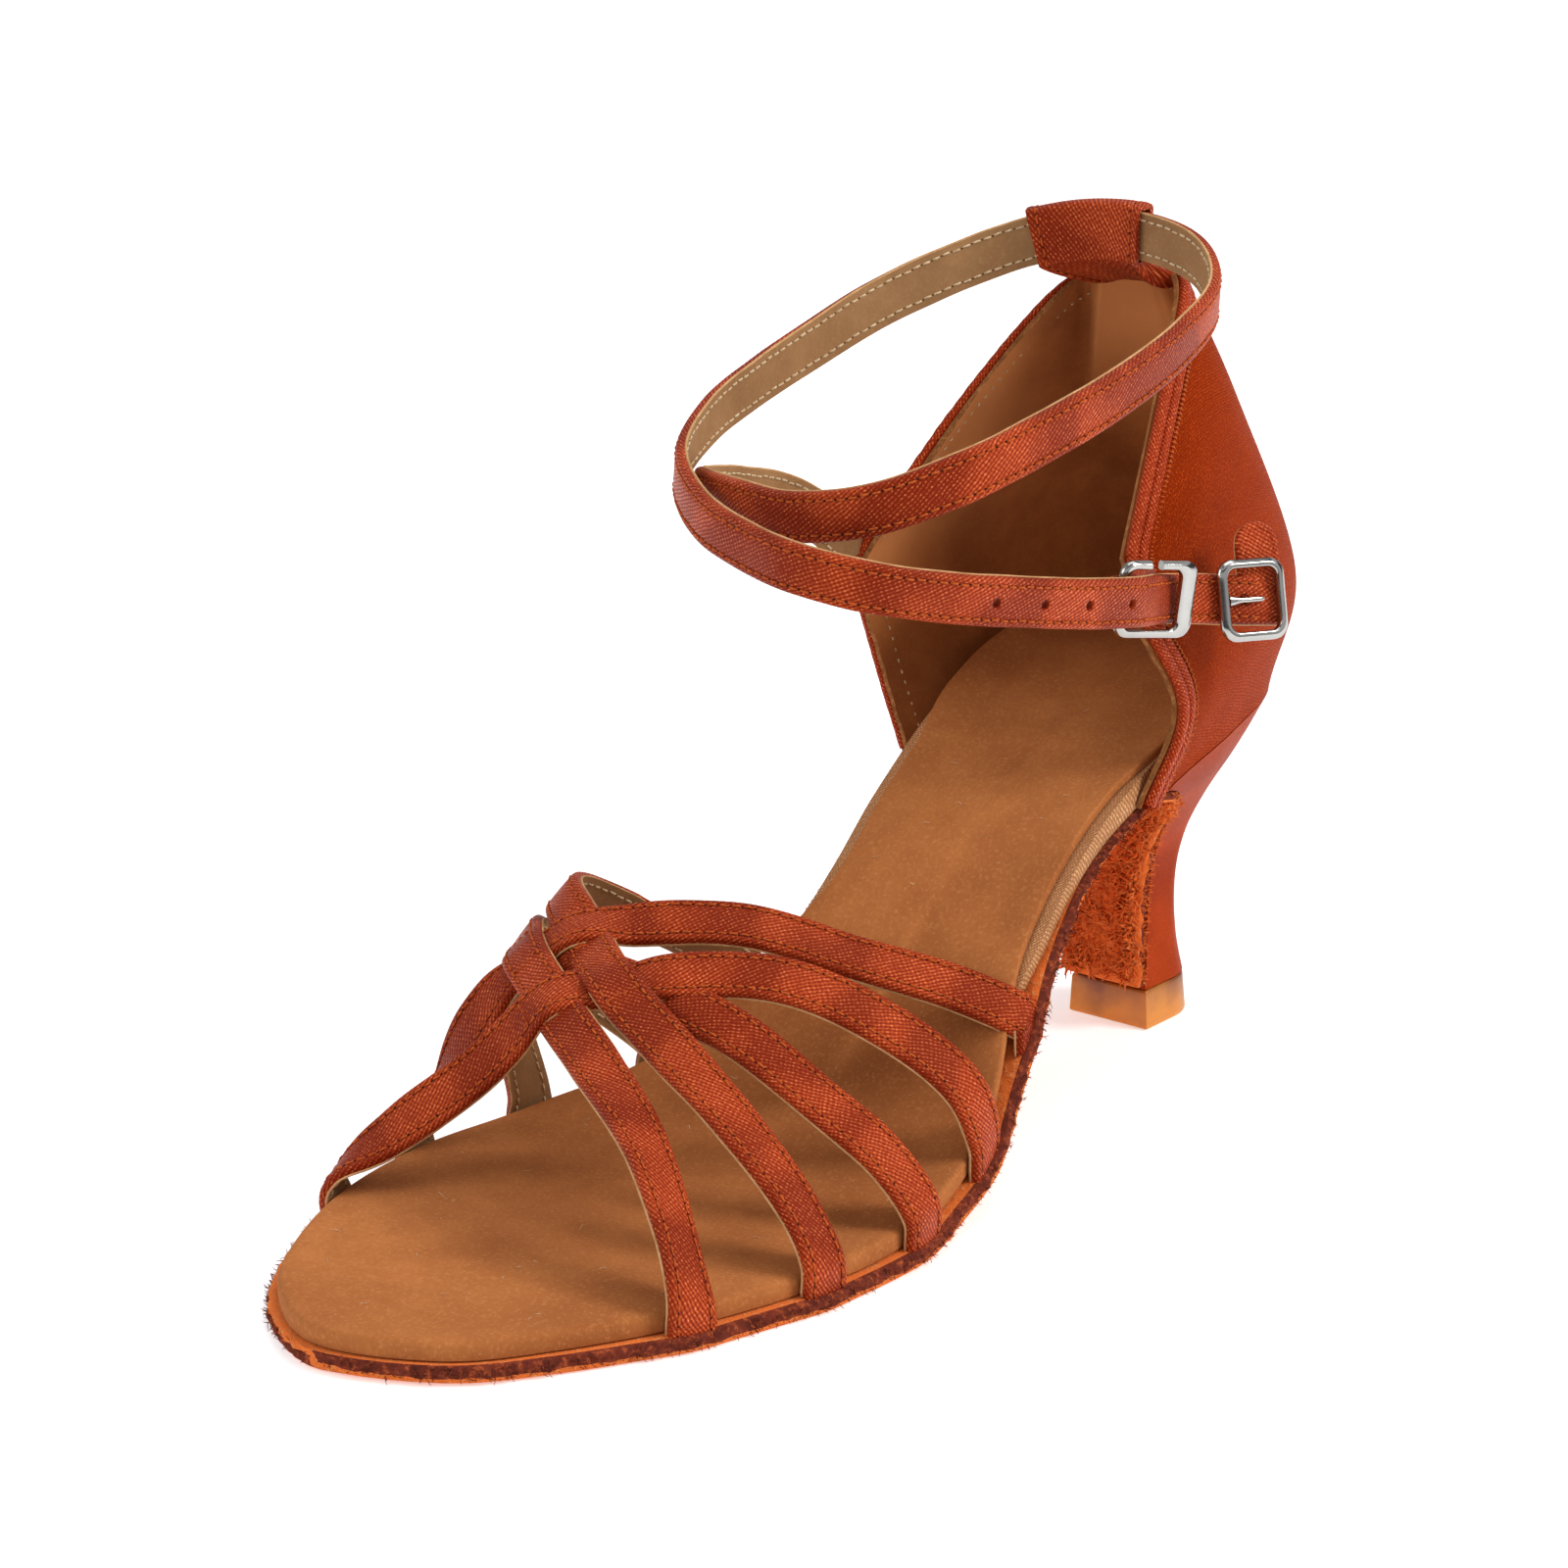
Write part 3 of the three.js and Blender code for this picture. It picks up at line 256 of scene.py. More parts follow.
def camera_axes():
    """The camera's right, up and back directions while it still looks as the photo does."""
    a, e, r = CAMERA_AZIMUTH, CAMERA_ELEVATION, CAMERA_ROLL
    back = np.array([math.sin(a) * math.cos(e), -math.cos(a) * math.cos(e), math.sin(e)])
    level = np.array([math.cos(a), math.sin(a), 0.0])
    upright = np.cross(back, level)
    right = math.cos(r) * level - math.sin(r) * upright
    return right, math.sin(r) * level + math.cos(r) * upright, back


def place_camera():
    right, up, back = camera_axes()
    offset = (AIMED_PIXEL - PICTURE_MIDDLE) / FOCAL_PIXELS * CAMERA_DISTANCE
    eye = AIMED_POINT + back * CAMERA_DISTANCE - right * offset[0] + up * offset[1]
    turn = (SHOE_PIXEL - PICTURE_MIDDLE) / FOCAL_PIXELS
    ahead = unit(-back + right * turn[0] - up * turn[1])
    right = unit(np.cross(ahead, up))
    up = np.cross(right, ahead)
    data = bpy.data.cameras.new("camera")
    data.sensor_width = 36.0
    data.lens = 36.0 * FOCAL_SHARE
    camera = bpy.data.objects.new("camera", data)
    x, y, z = to_frame(eye)
    camera.matrix_world = Matrix([
        (right[0], up[0], -ahead[0], x), (right[1], up[1], -ahead[1], y),
        (right[2], up[2], -ahead[2], z), (0, 0, 0, 1)])
    bpy.context.scene.collection.objects.link(camera)
    bpy.context.scene.camera = camera
    return camera


camera = place_camera()
print("camera at", [round(c, 3) for c in camera.location])

# %% [markdown]
# Product photographs of shoes are lit by large soft boxes against white. One box from the right
# makes the soft shadows that the straps throw on the sock. A wider one in front opens them, and
# one above picks out the straps. The floor is plain and pale.

# %% Light and floor
def soft_box(name, spot, aim, size, power, tint=(1.0, 1.0, 1.0)):
    data = bpy.data.lights.new(name, "AREA")
    data.shape = "RECTANGLE"
    data.size, data.size_y = size
    data.energy = power
    data.color = tint
    lamp = bpy.data.objects.new(name, data)
    lamp.location = spot
    lamp.rotation_mode = "QUATERNION"
    lamp.rotation_quaternion = (Vector(aim) - Vector(spot)).to_track_quat("-Z", "Y")
    bpy.context.scene.collection.objects.link(lamp)
    return lamp


SHOE_MIDDLE = (cad_low + cad_high) / 2
soft_box("key_box", (1.15, 0.45, 1.0), SHOE_MIDDLE, (0.5, 0.5), 17.0, (1.0, 0.99, 0.97))
soft_box("front_box", (-0.55, -1.25, 0.95), SHOE_MIDDLE, (0.9, 0.9), 9.0)
soft_box("top_box", (0.1, 0.25, 1.5), SHOE_MIDDLE, (1.0, 1.0), 6.0)

world = bpy.data.worlds.new("studio")
bpy.context.scene.world = world
world.use_nodes = True
sky = world.node_tree
sky_place = sky.nodes.new("ShaderNodeTexCoord").outputs["Generated"]
sky_wave = sky.nodes.new("ShaderNodeTexWave")
sky_wave.wave_type = "RINGS"
sky_wave.rings_direction = "Z"
sky_wave.inputs["Scale"].default_value = 0.9
sky_wave.inputs["Distortion"].default_value = 2.0
sky_wave.inputs["Detail"].default_value = 0.0
sky.links.new(sky_place, sky_wave.inputs["Vector"])
sky_ramp = sky.nodes.new("ShaderNodeValToRGB")
sky_ramp.color_ramp.elements[0].position = 0.25
sky_ramp.color_ramp.elements[0].color = (0.12, 0.12, 0.13, 1.0)
sky_ramp.color_ramp.elements[1].position = 0.5
sky.links.new(sky_wave.outputs["Fac"], sky_ramp.inputs["Fac"])
sky.links.new(sky_ramp.outputs["Color"], sky.nodes["Background"].inputs["Color"])
sky.nodes["Background"].inputs["Strength"].default_value = 0.62
bpy.context.scene.view_settings.view_transform = "Standard"

floor_mesh = bpy.data.meshes.new("floor")
FLOOR_HALF = 6.0
floor_mesh.from_pydata(
    [(-FLOOR_HALF, -FLOOR_HALF, 0), (FLOOR_HALF, -FLOOR_HALF, 0),
     (FLOOR_HALF, FLOOR_HALF, 0), (-FLOOR_HALF, FLOOR_HALF, 0)], [], [(0, 1, 2, 3)])
floor = bpy.data.objects.new("floor", floor_mesh)
floor.location.z = -0.00005
bpy.context.scene.collection.objects.link(floor)
print("three soft boxes and a floor")

# %% [markdown]
# Colours are written as a paint shop writes them, in red, green and blue from 0 to 255, and
# turned into the linear light that the shader works in.

# %% Colours
def paint(red, green, blue):
    def linear(value):
        share = value / 255
        return share / 12.92 if share <= 0.04045 else ((share + 0.055) / 1.055) ** 2.4
    return (linear(red), linear(green), linear(blue), 1.0)


print("satin orange as linear light:", [round(c, 3) for c in paint(205, 84, 46)])

# %% [markdown]
# Two effects are shared by several finishes, so each is built once as a node group. The twill
# group draws the slanting ribs of a satin or twill over the cloth map, made of short beads of
# thread, with painted highlights on the rib tops and painted shade in the grooves, soft clouds
# of painted shade, and long patches of painted satin sheen. The nap group draws suede: soft
# clouds where the fibres lie one way or another, and a fine grain of single fibres.

# %% Node helpers
class Wiring:
    """Adds nodes to a tree and joins them, so that a material reads as a short recipe."""

    def __init__(self, tree):
        self.tree = tree

    def node(self, kind, **settings):
        made = self.tree.nodes.new(kind)
        for key, value in settings.items():
            setattr(made, key, value)
        return made

    def feed(self, socket, value):
        if isinstance(value, bpy.types.NodeSocket):
            self.tree.links.new(value, socket)
        else:
            socket.default_value = value

    def math(self, operation, a, b=0.0, clamp=False):
        made = self.node("ShaderNodeMath", operation=operation, use_clamp=clamp)
        self.feed(made.inputs[0], a)
        self.feed(made.inputs[1], b)
        return made.outputs[0]

    def mix(self, share, a, b):
        made = self.node("ShaderNodeMix", data_type="RGBA")
        self.feed(made.inputs["Factor"], share)
        self.feed(made.inputs["A"], a)
        self.feed(made.inputs["B"], b)
        return made.outputs["Result"]

    def noise(self, where, scale, detail=2.0, roughness=0.5):
        made = self.node("ShaderNodeTexNoise")
        self.feed(made.inputs["Vector"], where)
        self.feed(made.inputs["Scale"], scale)
        made.inputs["Detail"].default_value = detail
        made.inputs["Roughness"].default_value = roughness
        return made.outputs["Fac"]

    def span(self, value, low, high, to_low=0.0, to_high=1.0):
        made = self.node("ShaderNodeMapRange")
        self.feed(made.inputs["Value"], value)
        for key, number in (("From Min", low), ("From Max", high),
                            ("To Min", to_low), ("To Max", to_high)):
            self.feed(made.inputs[key], number)
        return made.outputs["Result"]


def new_group(name, inputs, outputs):
    """A shader node group with named sockets. Each entry is (name, kind, value)."""
    group = bpy.data.node_groups.new(name, "ShaderNodeTree")
    for title, kind, value in inputs:
        socket = group.interface.new_socket(title, in_out="INPUT", socket_type=kind)
        if value is not None:
            socket.default_value = value
    for title, kind in outputs:
        group.interface.new_socket(title, in_out="OUTPUT", socket_type=kind)
    wiring = Wiring(group)
    return wiring, wiring.node("NodeGroupInput").outputs, wiring.node("NodeGroupOutput").inputs


FLOAT, COLOUR, VECTOR = "NodeSocketFloat", "NodeSocketColor", "NodeSocketVector"

# %% The twill group
def make_twill():
    w, given, out = new_group("twill", [
        ("Cloth", VECTOR, None), ("Rib", FLOAT, 0.55), ("Slant", FLOAT, 0.6),
        ("Thread", COLOUR, paint(205, 84, 46)), ("Shade", COLOUR, paint(140, 45, 22)),
        ("Glint", COLOUR, paint(236, 130, 90)), ("Contrast", FLOAT, 0.6),
        ("Bands", FLOAT, 0.0),
    ], [("Colour", COLOUR), ("Height", FLOAT), ("Roughness", FLOAT)])
    parts = w.node("ShaderNodeSeparateXYZ")
    w.feed(parts.inputs[0], given["Cloth"])
    waver = w.span(w.noise(given["Cloth"], 0.35, 2.0), 0.3, 0.7, -0.25, 0.25)
    along = w.math("ADD", parts.outputs["X"], waver)
    slanted = w.math("ADD", w.math("MULTIPLY", along, given["Slant"]), parts.outputs["Y"])
    crossed = w.math("SUBTRACT", w.math("MULTIPLY", parts.outputs["Y"], given["Slant"]), along)
    turn = w.math("DIVIDE", 2 * math.pi, given["Rib"])
    rib = w.math("SINE", w.math("MULTIPLY", slanted, turn))
    bead = w.math("SINE", w.math("MULTIPLY", w.math("MULTIPLY", crossed, turn), 0.85))
    rib01 = w.span(rib, -1.0, 1.0)
    bead01 = w.span(bead, -1.0, 1.0)
    height = w.math("ADD", w.math("MULTIPLY", rib01, 0.7), w.math("MULTIPLY", bead01, 0.3))
    uneven = w.noise(given["Cloth"], 2.2, 2.0)
    cloudy = w.noise(given["Cloth"], 0.16, 3.0)
    light = w.math("MULTIPLY", height, w.span(uneven, 0.3, 0.7, 0.6, 1.25))
    # The grooves are mixed towards Shade, painted shade, and the lit beads towards Glint, painted
    # highlights.
    deep = w.math("MULTIPLY", w.math("SUBTRACT", 1.0, light, True), given["Contrast"])
    body = w.mix(deep, given["Thread"], given["Shade"])
    glints = w.math("MULTIPLY", w.span(w.math("MULTIPLY", light, uneven), 0.36, 0.66),
                    given["Contrast"])
    lit = w.mix(w.math("MULTIPLY", glints, 0.8), body, given["Glint"])
    # Soft clouds mixed towards Shade: painted shade.
    shifted = w.mix(w.span(cloudy, 0.35, 0.7, 0.0, 0.28), lit, given["Shade"])
    # Long patches of painted satin sheen: the weave turns to painted shade dotted with painted
    # glints, as much as the bands setting allows.
    stretch = w.node("ShaderNodeVectorMath", operation="MULTIPLY")
    w.feed(stretch.inputs[0], given["Cloth"])
    stretch.inputs[1].default_value = (0.075, 0.05, 1.0)
    turned = w.span(w.noise(stretch.outputs[0], 1.0, 1.0), 0.42, 0.56)
    sparks = w.math("MULTIPLY", w.span(height, 0.62, 0.98), w.span(uneven, 0.4, 0.65))
    dark = w.mix(w.math("MULTIPLY", sparks, 0.7), given["Shade"], given["Glint"])
    w.feed(out["Colour"], w.mix(w.math("MULTIPLY", turned, given["Bands"]), shifted, dark))
    w.feed(out["Height"], height)
    w.feed(out["Roughness"], w.span(light, 0.0, 1.0, 0.52, 0.36))
    return w.tree


# %% The nap group
def make_nap():
    w, given, out = new_group("nap", [
        ("Place", VECTOR, None), ("Grain", FLOAT, 2200.0), ("Cloud", FLOAT, 60.0),
        ("Base", COLOUR, paint(186, 122, 66)), ("Brushed", COLOUR, paint(160, 98, 50)),
        ("Fleck", COLOUR, paint(212, 150, 92)), ("Flecks", FLOAT, 0.4),
    ], [("Colour", COLOUR), ("Height", FLOAT)])
    cloud = w.noise(given["Place"], given["Cloud"], 4.0, 0.6)
    patch = w.noise(given["Place"], w.math("MULTIPLY", given["Cloud"], 4.5), 3.0)
    fibre = w.noise(given["Place"], given["Grain"], 3.0, 0.7)
    body = w.mix(w.span(cloud, 0.36, 0.66), given["Base"], given["Brushed"])
    body = w.mix(w.span(patch, 0.45, 0.75, 0.0, 0.45), body, given["Brushed"])
    flecked = w.mix(w.math("MULTIPLY", w.span(fibre, 0.52, 0.75), given["Flecks"]),
                    body, given["Fleck"])
    dark = w.math("MULTIPLY", w.span(fibre, 0.48, 0.28), given["Flecks"])
    w.feed(out["Colour"], w.mix(w.math("MULTIPLY", dark, 0.7), flecked, given["Brushed"]))
    w.feed(out["Height"], w.math("ADD", w.math("MULTIPLY", fibre, 0.6),
                                 w.math("MULTIPLY", patch, 0.4)))
    return w.tree


TWILL = make_twill()
NAP = make_nap()
print("node groups:", TWILL.name, NAP.name)

# %% [markdown]
# Each finish is its own material. The group gives its colour and height, a Bump node turns the
# height into relief, and everything that is the same all over, such as sheen, is set on the
# shader itself.

# %% Finishes
def new_material(name, **shader):
    material = bpy.data.materials.new(name)
    material.use_nodes = True
    wiring = Wiring(material.node_tree)
    principled = material.node_tree.nodes["Principled BSDF"]
    for key, value in shader.items():
        principled.inputs[key.replace("_", " ")].default_value = value
    return material, wiring, principled


def placed(wiring, group, **values):
    made = wiring.node("ShaderNodeGroup", node_tree=group)
    for key, value in values.items():
        wiring.feed(made.inputs[key], value)
    return made.outputs


def relief(wiring, principled, height, distance, strength=1.0):
    bump = wiring.node("ShaderNodeBump")
    bump.inputs["Strength"].default_value = strength
    bump.inputs["Distance"].default_value = distance * MM
    wiring.feed(bump.inputs["Height"], height)
    wiring.feed(principled.inputs["Normal"], bump.outputs["Normal"])


def satin(name, thread, shade, glint, rib=0.55, slant=0.6, contrast=0.6, depth=0.05,
          sheen_bands=0.0, **shader):
    settings = {"Specular_IOR_Level": 0.5}
    settings.update(shader)
    material, w, principled = new_material(name, **settings)
    principled.inputs["Specular Tint"].default_value = glint
    principled.inputs["Sheen Tint"].default_value = glint
    cloth = w.node("ShaderNodeUVMap", uv_map="cloth").outputs["UV"]
    made = placed(w, TWILL, Cloth=cloth, Rib=rib, Slant=slant, Thread=thread,
                  Shade=shade, Glint=glint, Contrast=contrast, Bands=sheen_bands)
    w.feed(principled.inputs["Base Color"], made["Colour"])
    w.feed(principled.inputs["Roughness"], made["Roughness"])
    relief(w, principled, made["Height"], depth)
    return material


def suede(name, base, brushed, fleck, grain=2200.0, cloud=60.0, flecks=0.4, depth=0.12,
          painted_light=None, **shader):
    settings = {"Roughness": 0.95, "Sheen_Weight": 0.4, "Sheen_Roughness": 0.6,
                "Specular_IOR_Level": 0.2}
    settings.update(shader)
    material, w, principled = new_material(name, **settings)
    principled.inputs["Sheen Tint"].default_value = fleck
    place = w.node("ShaderNodeTexCoord").outputs["Object"]
    made = placed(w, NAP, Place=place, Grain=grain, Cloud=cloud, Base=base,
                  Brushed=brushed, Fleck=fleck, Flecks=flecks)
    colour = made["Colour"]
    # A per-point mask of painted light mixes in a lighter colour.
    if painted_light:
        share = w.node("ShaderNodeAttribute", attribute_name="painted_light").outputs["Fac"]
        colour = w.mix(share, colour, painted_light)
    w.feed(principled.inputs["Base Color"], colour)
    relief(w, principled, made["Height"], depth)
    return material


ORANGE, ORANGE_SHADE, ORANGE_GLINT = paint(199, 82, 42), paint(118, 30, 12), paint(246, 138, 84)
# The strap satin shows strong long patches of painted sheen and shade.
strap_satin = satin("strap_satin", ORANGE, ORANGE_SHADE, ORANGE_GLINT, rib=0.72, contrast=1.0,
                    depth=0.1, sheen_bands=0.9, Specular_IOR_Level=0.3)
counter_satin = satin("counter_satin", paint(164, 52, 12), paint(104, 24, 4),
                      paint(226, 104, 40), rib=0.95, slant=2.2, contrast=1.0, depth=0.12,
                      Specular_IOR_Level=0.02, Sheen_Weight=0.3, Sheen_Roughness=0.4)
binding_satin = satin("binding_satin", paint(178, 62, 26), ORANGE_SHADE, ORANGE_GLINT,
                      rib=0.75, slant=0.9, contrast=1.0, depth=0.1, Specular_IOR_Level=0.3)
# The heel shows the patches of painted sheen and shade at half strength.
heel_satin = satin("heel_satin", paint(174, 62, 16), paint(116, 30, 8), paint(216, 100, 44),
                   rib=0.6, slant=3.0, contrast=0.5, depth=0.03, sheen_bands=0.45,
                   Specular_IOR_Level=0.03)
tan_twill = satin("tan_twill", paint(206, 148, 100), paint(128, 82, 50), paint(238, 192, 148),
                  rib=0.8, slant=1.1, contrast=0.9, depth=0.08, Specular_IOR_Level=0.2)
sock_suede = suede("sock_suede", paint(176, 107, 56), paint(152, 87, 43), paint(200, 134, 80),
                   grain=1500.0, cloud=45.0, flecks=0.6, depth=0.1, Sheen_Weight=0.2)
# The lighter colour given last is the lining's painted light.
lining_suede = suede("lining_suede", paint(166, 98, 48), paint(134, 74, 34),
                     paint(190, 122, 66), flecks=0.3, depth=0.08, Sheen_Weight=0.2,
                     painted_light=paint(236, 160, 98))
strap_lining = suede("strap_lining", paint(156, 116, 76), paint(134, 96, 60),
                     paint(180, 142, 100), grain=1500.0, flecks=0.3, depth=0.06,
                     Roughness=0.7, Sheen_Weight=0.1)
raw_edge = suede("raw_edge", paint(204, 160, 112), paint(172, 126, 80), paint(226, 190, 146),
                 grain=1600.0, cloud=300.0, depth=0.1)
lining_edge = suede("lining_edge", paint(146, 92, 48), paint(108, 62, 30), paint(186, 130, 80),
                    grain=1400.0, cloud=400.0, flecks=0.8, depth=0.2)
sole_suede = suede("sole_suede", paint(248, 128, 52), paint(206, 86, 32), paint(250, 166, 96),
                   grain=900.0, cloud=900.0, flecks=1.0, depth=0.8)
sole_edge = suede("sole_edge", paint(116, 46, 30), paint(78, 28, 20), paint(190, 92, 48),
                  grain=900.0, cloud=420.0, flecks=0.9, depth=0.4)


def thread(name, colour, dark):
    material, w, principled = new_material(name, Roughness=0.7, Specular_IOR_Level=0.15)
    place = w.node("ShaderNodeTexCoord").outputs["Object"]
    speck = w.noise(place, 2600.0, 2.0)
    w.feed(principled.inputs["Base Color"], w.mix(w.span(speck, 0.35, 0.7), dark, colour))
    return material


orange_thread = thread("orange_thread", paint(198, 94, 36), paint(160, 66, 24))
pale_thread = thread("pale_thread", paint(226, 204, 168), paint(176, 146, 108))
# Dark tubes at the needle holes: painted shade in the holes, on the satin and on the lining.
stitch_hole_shade = thread("stitch_hole_shade", paint(74, 24, 10), paint(48, 14, 8))
lining_hole_shade = thread("lining_hole_shade", paint(110, 76, 48), paint(84, 56, 34))


def metal():
    material, w, principled = new_material("polished_nickel", Metallic=1.0)
    place = w.node("ShaderNodeTexCoord").outputs["Object"]
    smear = w.noise(place, 220.0, 4.0, 0.6)
    w.feed(principled.inputs["Base Color"],
           w.mix(smear, paint(158, 157, 154), paint(190, 189, 186)))
    w.feed(principled.inputs["Roughness"], w.span(smear, 0.3, 0.7, 0.08, 0.2))
    return material


def amber():
    material, w, principled = new_material(
        "amber_tip", Roughness=0.38, Subsurface_Weight=0.35, Subsurface_Scale=0.003,
        Coat_Weight=0.15, Coat_Roughness=0.25)
    principled.inputs["Subsurface Radius"].default_value = (1.0, 0.6, 0.25)
    place = w.node("ShaderNodeTexCoord").outputs["Object"]
    haze = w.span(w.noise(place, 110.0, 3.0), 0.35, 0.65)
    parts = w.node("ShaderNodeSeparateXYZ")
    w.feed(parts.inputs[0], place)
    low = w.span(parts.outputs["Z"], 0.0, TIP_HEIGHT * MM, 0.75, -0.15)
    w.feed(principled.inputs["Base Color"],
           w.mix(w.math("ADD", w.math("MULTIPLY", haze, 0.6), low, True), paint(104, 44, 6),
                 paint(206, 128, 22)))
    relief(w, principled, w.noise(place, 700.0, 2.0), 0.03)
    return material


def floor_finish():
    material, w, principled = new_material("pale_floor", Roughness=0.6, Specular_IOR_Level=0.2,
                                           Emission_Color=(1.0, 1.0, 1.0, 1.0),
                                           Emission_Strength=0.42)
    place = w.node("ShaderNodeTexCoord").outputs["Object"]
    w.feed(principled.inputs["Base Color"],
           w.mix(w.noise(place, 3.0), paint(240, 240, 240), paint(244, 244, 244)))
    return material


polished_nickel = metal()
amber_tip = amber()
floor_mesh.materials.append(floor_finish())
print("finishes:", len(bpy.data.materials))

# %% [markdown]
# The sole tells where everything else goes. Its table has one row for each section from toe to
# heel, with lengths as shares of the sizes above, and the insole's edge is one closed curve
# through them. The rest of the shoe asks this curve where its rim is.

# %% The sole's table and outline
SOLE_COLUMNS = ("along", "outer", "inner", "rise", "stack", "cup", "welt", "wrap")
SOLE_ROWS = [
    (0.000, -0.12, -0.12, 0.009, 1.00, 0.0, 0.7, 1.0),
    (0.032, 0.32, -0.49, 0.006, 1.00, 0.0, 0.8, 1.0),
    (0.090, 0.57, -0.74, 0.002, 1.00, 0.0, 1.1, 1.0),
    (0.180, 0.82, -0.96, 0.000, 1.00, 0.0, 1.35, 1.0),
    (0.280, 0.965, -1.035, 0.000, 1.00, 0.0, 1.35, 1.0),
    (0.380, 0.985, -0.94, 0.012, 1.03, 0.0, 1.35, 0.9),
    (0.482, 0.88, -0.67, 0.125, 1.10, 0.0, 1.3, 0.6),
    (0.581, 0.72, -0.42, 0.480, 1.25, 0.0, 1.3, 0.05),
    (0.671, 0.645, -0.44, 0.725, 1.45, 0.1, 0.5, 0.0),
    (0.761, 0.63, -0.51, 0.868, 1.90, 0.4, 0.2, 0.0),
    (0.851, 0.595, -0.56, 0.947, 2.45, 0.8, 0.2, 0.0),
    (0.932, 0.45, -0.44, 0.985, 2.85, 1.0, 0.2, 0.0),
    (1.000, 0.00, 0.00, 1.000, 3.00, 1.0, 0.2, 0.0),
]
SOLE = {title: np.array(values) for title, values in zip(SOLE_COLUMNS, zip(*SOLE_ROWS))}
LAST_ROW = len(SOLE_ROWS) - 1


def outline_points():
    height = OUTSOLE + SOLE["rise"] * (SEAT_HEIGHT - OUTSOLE)
    outer = np.stack([SOLE["outer"] * HALF_BALL, SOLE["along"] * FOOT_LENGTH, height], 1)
    inner = np.stack([SOLE["inner"] * HALF_BALL, SOLE["along"] * FOOT_LENGTH, height], 1)
    return np.vstack([outer, inner[1:-1][::-1]])


OUTLINE = Smooth(outline_points(), closed=True)
COLUMN_CURVES = {title: Smooth(np.stack([SOLE[title]] * 3, 1)) for title in SOLE_COLUMNS[4:]}


def rim(place, side, offset=0.0):
    """The insole's edge at a place from 0 at the toe to LAST_ROW at the heel, moved outwards."""
    share = np.atleast_1d(np.asarray(place, float)) / (2 * LAST_ROW)
    share = share if side > 0 else 1 - share
    step = 1e-4
    ahead, behind = OUTLINE.at(share + step), OUTLINE.at(share - step)
    outward = unit(np.stack([ahead[:, 1] - behind[:, 1], behind[:, 0] - ahead[:, 0],
                             np.zeros(len(share))], 1))
    return OUTLINE.at(share) + outward * np.reshape(offset, (-1, 1))


def column(title, place):
    share = np.clip(np.atleast_1d(place) / LAST_ROW, 0, 1)
    return COLUMN_CURVES[title].at(share)[:, 0]


def place_at(along, side, offset=0.0):
    """The place on the edge that lies this far from the toe tip."""
    fine = np.linspace(0, LAST_ROW, 4001)
    runs = rim(fine, side, offset)[:, 1]
    return float(np.interp(along, np.maximum.accumulate(runs), fine))


def across(place, side, share, offset, height):
    """A point between the middle of the section, at share 0, and its rim, at 1."""
    edge = rim(place, side, offset)
    middle = (edge + rim(place, -side, offset)) / 2
    point = middle + (edge - middle) * np.reshape(share, (-1, 1))
    point[:, 2] = height
    return point


print("insole", round(OUTLINE.length() / 2), "mm along each edge")

# %% [markdown]
# The sock is the suede that the foot stands on. On the real shoe it is a thin skin glued over
# the board, so its edge is soft and rounds over, and in the forefoot it wraps down to the sole.
# Its mesh is fine enough to let the surface dip a little under the ball and the heel, where a
# foot has pressed it.

# %% Sock
WRAP_START = 0.15
WAIST_INSET = 2.2


def lip_share(place):
    return np.clip((column("wrap", place) - WRAP_START) / (1 - WRAP_START), 0, 1)


def insole_top(place):
    return rim(place, 1)[:, 2] + column("stack", place) * INSOLE


def pressed(place, share):
    """How far a foot has pressed the sock down: under the ball and under the heel."""
    middle = 1 - np.asarray(share) ** 2
    ball = np.exp(-(((place - 4.7) / 1.3) ** 2))
    heel = np.exp(-(((place - 10.6) / 1.0) ** 2))
    return (0.35 * ball + 0.25 * heel) * middle


def sock_half(place, side):
    top = insole_top(place)
    dip = column("cup", place) * SEAT_CUP
    under = rim(place, 1)[:, 2]
    wrap = lip_share(place)
    lip = GAP / 2 + wrap * (top - SOCK - under - GAP - GAP / 2)
    rounding = 0.35 * SOCK + 0.6 * wrap
    along = rim(place, 1)[:, 1] / FOOT_LENGTH
    narrow = WAIST_INSET * smoothstep(along, 0.5, 0.6) * (1 - smoothstep(along, 0.71, 0.78))
    shares = np.linspace(0.0, 1.0, 12)
    bowl = np.interp(shares, [0, 0.3, 0.72, 1], [1.0, 1.0, 0.75, 0.0])
    ring = []
    for share, depth in zip(shares, bowl):
        ring.append(across(place, side, share, -rounding - narrow,
                           top - dip * depth - pressed(place, share)))
    for turn in np.linspace(0, math.pi / 2, 6)[1:]:
        inset, drop = rounding * (1 - math.sin(turn)), rounding * (1 - math.cos(turn))
        ring.append(across(place, side, 1, -inset - narrow, top - drop))
    ring.append(across(place, side, 1, -narrow, top - SOCK - lip))
    ring.append(across(place, side, 1, -SOCK - narrow, top - SOCK - lip))
    ring.append(across(place, side, 1, -SOCK - narrow, top - SOCK))
    for share, depth in ((0.72, 0.75), (0.3, 1.0)):
        ring.append(across(place, side, share, -SOCK, top - dip * depth - SOCK))
    return np.stack(ring, 1)


def paired(half, place):
    """A full ring from its outer half and its inner half, the inner one mirrored back."""
    return np.concatenate([half(place, 1), half(place, -1)[:, ::-1]], axis=1)


def stations(first, last, spacing=1.3):
    """Places along the sole about this many millimetres apart."""
    return np.linspace(first, last, int((last - first) / LAST_ROW * FOOT_LENGTH / spacing))


sock = skin("sock", paired(sock_half, stations(0.05, LAST_ROW - 0.05)), [sock_suede], sharp=50)
dress(sock, "tan_suede", "sock")

# %% [markdown]
# Between the sock and the outsole lies the board. From the side it shows only as a band of tan
# twill from behind the last strap to the counter, so the cloth map runs along it and the ribs
# slant as they do on a bias-cut tape.

